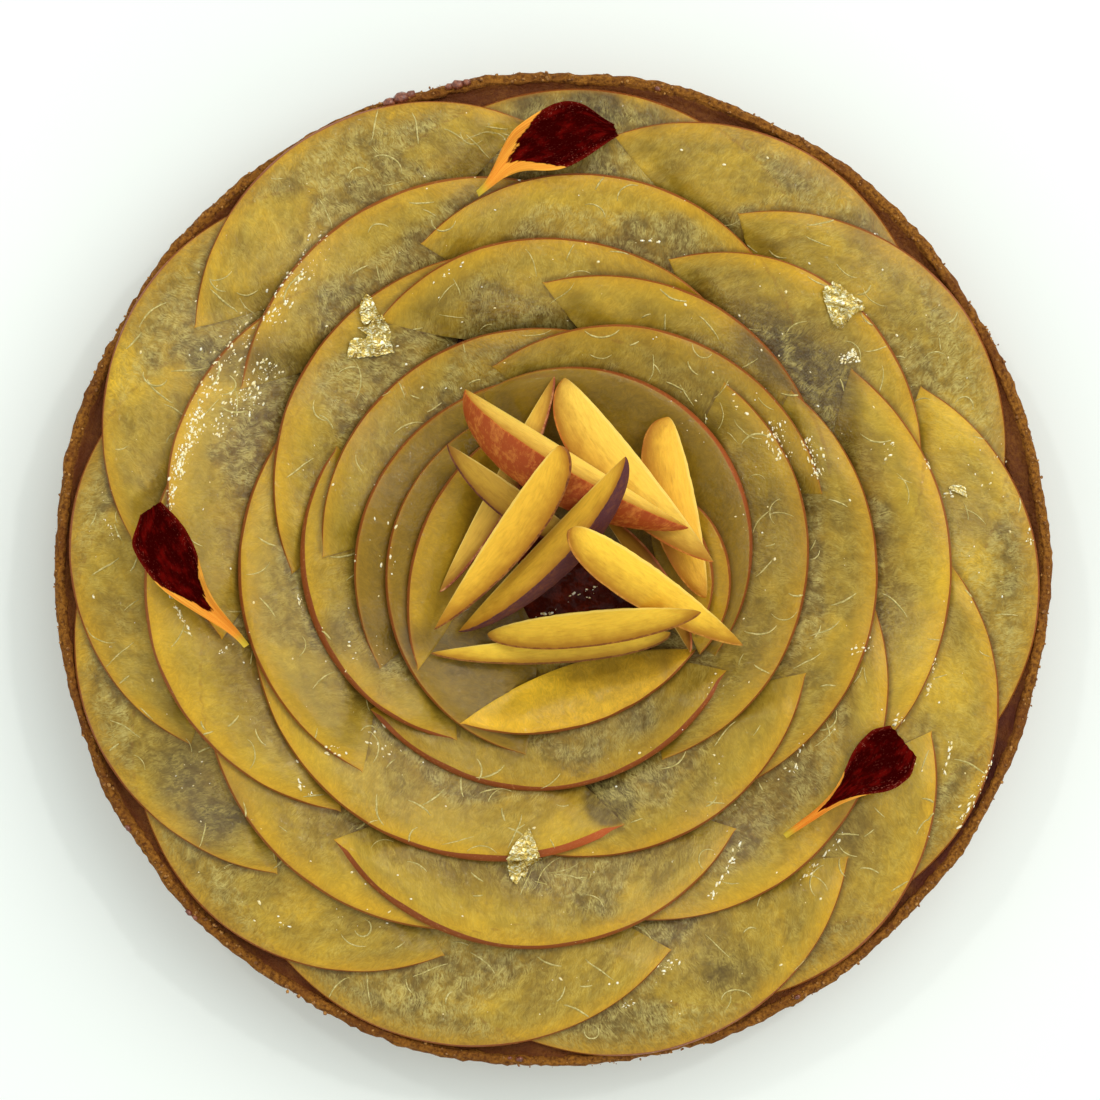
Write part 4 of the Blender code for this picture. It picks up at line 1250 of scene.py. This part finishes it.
def build_wedge(name):
    """A crescent with two flat cut faces, laid as its solid lies."""
    depth, spread, ridge_rise, tapers = WEDGES[name][3:]
    place, length = wedge_place(name)
    section = wedge_section(spread, ridge_rise)
    offset = random.Random(name).uniform(0, 300)
    loops, facts = [], {"place": [], "share": [], "thin": []}
    for t in np.sin(np.linspace(-0.5, 0.5, WEDGE_LOOPS) * math.pi * END_LOOP):
        full = fullness(t, tapers)
        size = depth * MM * full
        wave = RIDGE_WAVES * noise.noise(Vector((t * 30, 0, offset)))
        loop = []
        for x, z, across in section:
            rough = DENTS * noise.noise(Vector((t * 9, x * 5, z * 5 + offset)))
            rough += wave * max(across - NEAR_RIDGE, 0) / (1 - NEAR_RIDGE)
            loop.append(place @ Vector((t * length / 2, x * size * (1 + rough), z * size * (1 + rough))))
            facts["place"].append((t * length / 2 / MM + offset, across * size / MM,
                                   (x + z) * size / MM))
            facts["share"].append(across)
            facts["thin"].append(full)
        loops.append(np.array(loop))
    points, faces = loft(loops, facts)
    look = wedge_look(name)
    add_piece(name + "_flesh", points, faces, look, [name], sharp=42, facts=facts)


# Case and jam

def wall_relief(spot):
    """How far the pastry stands out: waves of 60 to 1900 to the metre, coarse to crumbly."""
    coarse = noise.noise(spot * 60) * CRUMB_RELIEF * 1.2
    fine = noise.noise(spot * 330 + Vector((5, 0, 0))) * CRUMB_RELIEF * 1.1
    crumb = noise.noise(spot * 900) * 0.30 * MM + noise.noise(spot * 1900) * 0.20 * MM
    return coarse, 0.5 * fine, crumb


def crust_profile():
    """Section of the case, as (radius, height) from its base over the rim to its floor."""
    outer, inner, top = TART_RADIUS, TART_RADIUS - RIM_WIDTH, CASE_HEIGHT
    marks = (
        (outer - 3.0 * MM, 0.0, 2),
        (outer - 1.0 * MM, 0.0, 4),
        (outer - 0.1 * MM, 1.2 * MM, 14),
        (outer - 0.2 * MM, 0.5 * top, 14),
        (outer - 0.1 * MM, top - 1.0 * MM, 5),
        (outer - 0.7 * MM, top, 6),
        (inner + 0.5 * MM, top, 4),
        (inner, top - 0.6 * MM, 4),
        (inner - 0.9 * MM, JAM_TOP + 0.35 * MM, 7),
        (inner - 3.2 * MM, JAM_TOP + 0.20 * MM, 3),
        (inner - 4.2 * MM, JAM_TOP - 0.8 * MM, 6),
        (outer - WALL_AT_BASE - 1.4 * MM, CASE_BASE, 1),
    )
    profile = []
    for (r0, z0, count), (r1, z1, _) in zip(marks, marks[1:]):
        profile += [(r0 + (r1 - r0) * k / count, z0 + (z1 - z0) * k / count) for k in range(count)]
    return profile + [marks[-1][:2]]


def build_crust(look):
    """The case turned round the middle, rough on its rim and its wall."""
    profile = crust_profile()
    size = len(profile)
    lining = TART_RADIUS - RIM_WIDTH + 0.1 * MM
    points, inside, stained = [], [], []
    for i in range(CRUST_STEPS):
        turn = math.tau * i / CRUST_STEPS
        stain = max(0.0, 1 - abs(math.degrees(turn) - STAIN_ANGLE) / STAIN_REACH) ** 0.5
        for radius, height in profile:
            coarse, fine, crumb = wall_relief(Vector((*round_spot(radius, turn), height)))
            out = 0.0 if height <= FLAT_BELOW else crumb
            if radius > lining and height > PLAIN_BELOW:
                out += coarse + fine
            rim = max(0.0, min(1.0, (height - RIM_FROM) / RIM_FADE))
            points.append((*round_spot(radius + out, turn), height + rim * (0.7 * fine + 0.8 * crumb)))
            inside.append(float(radius < lining and height > CASE_BASE - SAME_HEIGHT))
            stained.append(inside[-1] * stain)
    faces = grid_faces(CRUST_STEPS, size, True)
    under, floor = len(points), len(points) + 1
    points += [(0, 0, 0), (0, 0, CASE_BASE)]
    inside += [0.0, 1.0]
    stained += [0.0, 0.0]
    for i in range(CRUST_STEPS):
        a, b = i * size, (i + 1) % CRUST_STEPS * size
        faces += [(under, b, a), (floor, a + size - 1, b + size - 1)]
    facts = {"inside": inside, "stained": stained}
    add_piece("crust_baked", points, faces, look, ["crust"], facts=facts)


def jam_height(spot, radius, brim):
    """Lumpy surface, mounded in the middle and drawn up where it meets the case."""
    mound = MOUND * max(0.0, 1 - (radius / MOUND_REACH) ** 2)
    lump = 0.50 * MM * noise.noise(spot * 300) + 0.12 * MM * noise.noise(spot * 900)
    lump *= 0.5 + 0.7 * (radius < LUMPY_REACH)
    edge = MENISCUS * max(0.0, (radius / brim - 0.985) / 0.015)
    return JAM_TOP + mound + lump - JAM_DIP + edge


def build_jam(look, pile):
    """One solid on the floor of the case, with close rings where it shows: in the middle and
    at the case."""
    foot = TART_RADIUS - WALL_AT_BASE - GAP
    slope = (WALL_AT_BASE - RIM_WIDTH) / (CASE_HEIGHT - 0.7 * MM - CASE_BASE)
    brim = foot + slope * (JAM_TOP - CASE_BASE - GAP)
    radii = [np.arange(0.7, 24, 0.7), np.arange(24, 76, 5), np.arange(76, brim / MM, 0.8)]
    radii = np.append(np.concatenate(radii) * MM, brim)
    turns = [math.tau * i / JAM_STEPS for i in range(JAM_STEPS)]
    points = [(0, 0, JAM_TOP + MOUND)]
    for radius in radii:
        for turn in turns:
            spot = Vector((*round_spot(radius, turn), JAM_TOP))
            points.append((spot.x, spot.y, jam_height(spot, radius, brim)))
    points += [(*round_spot(foot, turn), CASE_BASE + GAP) for turn in turns]
    points.append((0, 0, CASE_BASE + GAP))
    faces = disc_faces(JAM_STEPS, len(radii) + 1, True)
    add_piece("raspberry_jam", points, faces, look, ["raspberry_filling"])
    pile.lay("jam", points, faces)


# Petals and gold leaf

def grid_border(columns, rows):
    """Pairs of neighbouring points round a grid of this many steps, in order."""
    across = rows + 1
    border = [(i * across, (i + 1) * across) for i in range(columns)]
    border += [(columns * across + j, columns * across + j + 1) for j in range(rows)]
    border += [((i + 1) * across + rows, i * across + rows) for i in range(columns)]
    return border + [(j + 1, j) for j in range(rows)]


def height_on(surface, x, y, guess):
    """Height of a surface at a spot, or of its point nearest to a guessed height there."""
    found = height_below(surface, x, y, ABOVE_ALL)
    return surface.find_nearest(Vector((x, y, guess)))[0].z if found is None else found


def build_petal(name, look):
    """A cupped blade with folded margins that run together into the tube."""
    first, last, to_left, to_right = PETALS[name]
    start = Vector(first) * MM
    run = Vector(last) * MM - start
    forward = run.normalized()
    left = Vector((-forward.y, forward.x))
    surface = BVHTree.FromPolygons(*mesh_of(name))
    guess = corners_of(name)[:, 2].mean()
    columns, rows = PETAL_STEPS
    heights = np.zeros((columns + 1, rows + 1))
    flat = np.zeros((columns + 1, rows + 1, 2))
    facts = []
    for i, j in np.ndindex(heights.shape):
        along, share = i / columns, j / rows
        near = along + np.linspace(-ROUNDING, ROUNDING, 7)
        reach = [np.interp(near, PETAL_STATIONS, side).mean() for side in (to_right, to_left)]
        side = 2 * share - 1
        ragged = RAGGED * noise.noise(Vector((side * 5, along * 3, first[0])))
        out = along * run.length / MM + ragged * max(along - RAGGED_FROM, 0) / (1 - RAGGED_FROM)
        spot = start + (forward * out + left * (reach[0] + (reach[1] - reach[0]) * share)) * MM
        flat[i, j] = spot
        fold = FOLD * abs(side) ** 5 * math.sin(math.pi * min(max(along, 0.02) / FOLD_END, 1))
        ripple = RIPPLE * noise.noise(Vector((side * 2.2, along * 5, 7 + first[1]))) * along
        heights[i, j] = height_on(surface, spot.x, spot.y, guess) + (fold + ripple) * MM
        facts.append((along, side, first[0]))
    for _ in range(PETAL_SMOOTHING):
        padded = np.pad(heights, 1, mode="edge")
        heights = (4 * heights + padded[:-2, 1:-1] + padded[2:, 1:-1]
                   + padded[1:-1, :-2] + padded[1:-1, 2:]) / 8
    top = np.concatenate([flat, heights[..., None]], axis=2).reshape(-1, 3)
    points, faces = thin_sheet(top, grid_faces(columns + 1, rows + 1), grid_border(columns, rows),
                               PETAL_THICKNESS)
    facts = {"place": facts + facts}
    add_piece(name + "_blade", points, faces, look, [name], sharp=60, facts=facts)


def build_scrap(name, look, rest):
    """Crumpled foil with a torn outline, pressed onto the fruit."""
    node, middle, outline = SCRAPS[name]
    corners = [Vector(spot) for spot in outline]
    around, rings = SCRAP_STEPS
    border = []
    for k in range(around):
        at = k / around * len(corners)
        edge = corners[int(at)].lerp(corners[(int(at) + 1) % len(corners)], at - int(at))
        border.append(edge * (1 + TORN * noise.noise(Vector((k * 0.7, middle[0], 0)))))
    spots = [Vector((0, 0))] + [edge * (ring + 1) / rings for ring in range(rings) for edge in border]
    points = []
    for spot in spots:
        x, y = (spot.x + middle[0]) * MM, (spot.y + middle[1]) * MM
        folds = abs(noise.noise(Vector((x, y, 0)) * 330)) * 1.6 * MM
        folds += noise.noise(Vector((x, y, 1)) * 900) * 0.30 * MM
        flat = name in FLAT_SCRAPS or name == FLAT_ENDED_SCRAP and spot.y > 0.5
        height = height_below(rest, x, y, ABOVE_ALL) + SCRAP_LIFT
        points.append((x, y, height + folds * (FLAT_FOLDS if flat else 1.0)))
    last = 1 + (rings - 1) * around
    edges = [(last + k, last + (k + 1) % around) for k in range(around)]
    points, faces = thin_sheet(np.array(points), disc_faces(around, rings), edges, SCRAP_THICKNESS)
    add_piece(name, points, faces, look, [node] if node else (), sharp=30)


# Small things: painted glints of glaze, hairs in the flesh, crumbs and bits of jam

def build_bits(name, look, bits, ragged):
    """Rounded bits in one piece, from the middle, the three radii and the heading of each."""
    form = bmesh.new()
    for middle, radii, heading in bits:
        middle = Vector(middle)
        place = Matrix.Translation(middle) @ Matrix.Rotation(heading, 4, "Z") @ Matrix.Diagonal((*radii, 1))
        made = bmesh.ops.create_icosphere(form, subdivisions=1, radius=1, matrix=place)
        for vert in made["verts"]:
            bump = ragged * noise.noise(vert.co * 1500)
            vert.co = middle + (vert.co - middle) * (1 + bump)
    points = [tuple(v.co) for v in form.verts]
    faces = [[v.index for v in face.verts] for face in form.faces]
    form.free()
    add_piece(name, points, faces, look)


def build_glitter(pile):
    """Pale beads that paint the glints of the glaze as highlights, in their spots, and some strewn over the
    tart.
    """
    draw = random.Random(7)
    keys = [*SLICES, "jam"]
    bits = []

    def place_glint(x, y, heading, stretch):
        height = pile.height(x, y, OVER_SLICES, keys)
        small, large = GLINT_SIZES
        size = (small + (large - small) * draw.random() ** 2) * MM
        bits.append(((x, y, height), (size * stretch, size, size * 0.6), heading + draw.gauss(0, 0.4)))

    for x, y, long, wide, direction, count in GLITTER:
        turn = math.radians(direction)
        for _ in range(count):
            along = draw.uniform(-1, 1) * long
            side = draw.gauss(0, 0.5) * wide
            stretch = draw.uniform(1.4, 3.2) if wide < 1 else draw.uniform(0.9, 2.4)
            across = x + along * math.cos(turn) - side * math.sin(turn)
            upward = y + along * math.sin(turn) + side * math.cos(turn)
            place_glint(across * MM, upward * MM, turn, stretch)
    for _ in range(STRAY_GLINTS):
        turn = draw.uniform(0, math.tau)
        radius = math.sqrt(draw.uniform(*STRAY_BAND)) * STRAY_REACH
        place_glint(*round_spot(radius, turn), turn + math.pi / 2, draw.uniform(0.9, 1.8))
    build_bits("painted_glaze_glints", plain_look("painted_glaze_glint"), bits, 0.4)


def hair_loops(draw, pile):
    """Four-sided loops along one hair, as far as its slice goes."""
    keys = list(SLICES)
    turn = draw.uniform(0, math.tau)
    x, y = round_spot(draw.uniform(*HAIR_BAND), turn)
    heading = draw.uniform(0, math.tau)
    bend = draw.gauss(0, HAIR_BEND)
    count = draw.randint(*HAIR_STEPS)
    half = draw.uniform(*HAIR_WIDTHS) / 2
    loops = []
    for k in range(count):
        height = pile.height(x, y, OVER_SLICES, keys)
        if loops and abs(height - before) > HAIR_HOP:
            break
        before = height
        thick = half * (0.3 + 0.7 * math.sin(math.pi * (k + 0.5) / count))
        aside = (-math.sin(heading) * thick, math.cos(heading) * thick)
        loops.append(np.array(((x - aside[0], y - aside[1], height), (x, y, height - thick),
                               (x + aside[0], y + aside[1], height), (x, y, height + 0.7 * thick))))
        x += HAIR_STEP * math.cos(heading)
        y += HAIR_STEP * math.sin(heading)
        heading += bend + draw.gauss(0, HAIR_WAVER)
    return loops


def build_hairs(pile):
    """Pale threads that lie bent in the flesh and end where their slice does."""
    draw = random.Random(19)
    hairs = [hair_loops(draw, pile) for _ in range(HAIRS)]
    points, faces = joined(loft(loops) for loops in hairs if len(loops) > 4)
    add_piece("flesh_hairs", points, faces, plain_look("flesh_hair"))


def build_crumbs():
    """Crumbs on the rim, and fewer and lower ones on the wall."""
    draw = random.Random(11)
    bits = []
    for _ in range(CRUMBS):
        turn = draw.uniform(0, math.tau)
        high = draw.random() < ON_RIM
        radius = TART_RADIUS + draw.uniform(*(RIM_BAND if high else WALL_BAND)) * MM
        height = CASE_HEIGHT + draw.uniform(*(RIM_HEIGHTS if high else WALL_HEIGHTS)) * MM
        size = draw.uniform(0.3, 1.0) ** 2 * CRUMB_SIZE
        radii = tuple(size * draw.uniform(0.7, 1.3) for _ in range(3))
        bits.append(((*round_spot(radius, turn), height), radii, draw.uniform(0, 3)))
    build_bits("crumbs", plain_look("crumb"), bits, 0.5)


def build_rim_bits():
    """Bits of jam that came over the rim, each along it."""
    bits = []
    for x, y, size in RIM_BITS:
        radii = tuple(size * share * MM for share in (0.9, 0.65, 0.5))
        bits.append(((x * MM, y * MM, CASE_HEIGHT + 0.1 * MM), radii, math.atan2(y, x) + math.pi / 2))
    build_bits("jam_bits", plain_look("jam_bit"), bits, 0.25)


# Floor, light and camera

def build_stage():
    mesh = bpy.data.meshes.new("floor")
    corners = [(x * FLOOR_REACH, y * FLOOR_REACH, 0) for x, y in ((-1, -1), (1, -1), (1, 1), (-1, 1))]
    mesh.from_pydata(corners, [], [(0, 1, 2, 3)])
    look = Look("pale_floor", roughness=0.7)
    tint = look.cloud(look.position(), 0.004)
    look.set(base_color=look.mix(*FLOOR_COLOURS, look.ramp(tint, 0.35, 0.65)))
    mesh.materials.append(look.material)
    floor = bpy.data.objects.new("floor", mesh)
    bpy.context.scene.collection.objects.link(floor)


def build_lights():
    scene = bpy.context.scene
    scene.view_settings.view_transform = "Standard"
    scene.world = bpy.data.worlds.new("studio")
    scene.world.use_nodes = True
    sky = scene.world.node_tree.nodes["Background"]
    sky.inputs["Color"].default_value = SKY_COLOUR
    sky.inputs["Strength"].default_value = SKY_STRENGTH
    for name, (size, energy, place) in LIGHTS.items():
        data = bpy.data.lights.new(name, "AREA")
        data.shape = "DISK"
        data.size = size
        data.energy = energy
        light = bpy.data.objects.new(name, data)
        light.location = place
        away = Vector(LIGHT_AIM) - Vector(place)
        light.rotation_euler = away.to_track_quat("-Z", "Y").to_euler()
        scene.collection.objects.link(light)


def build_camera():
    data = bpy.data.cameras.new("camera")
    data.sensor_width = SENSOR_WIDTH
    data.lens = LENS
    camera = bpy.data.objects.new("camera", data)
    camera.location = CAMERA_PLACE
    bpy.context.scene.collection.objects.link(camera)
    bpy.context.scene.camera = camera


def main():
    for old in list(bpy.data.objects):
        if old.type in ("CAMERA", "LIGHT"):
            bpy.data.objects.remove(old)
    build_camera()
    build_crust(crust_look())
    flesh = slice_look()
    pile = Pile()
    build_jam(jam_look(), pile)
    for key in SLICES:
        build_slice(key, flesh, pile)
    for name in WEDGES:
        build_wedge(name)
    petal = petal_look()
    for name in PETALS:
        build_petal(name, petal)
    gold = gold_look()
    rest = BVHTree.FromPolygons(*joined(mesh_of(name) for name in NODES if name.startswith("slice")))
    for name in SCRAPS:
        build_scrap(name, gold, rest)
    build_hairs(pile)
    build_glitter(pile)
    build_crumbs()
    build_rim_bits()
    build_stage()
    build_lights()


main()
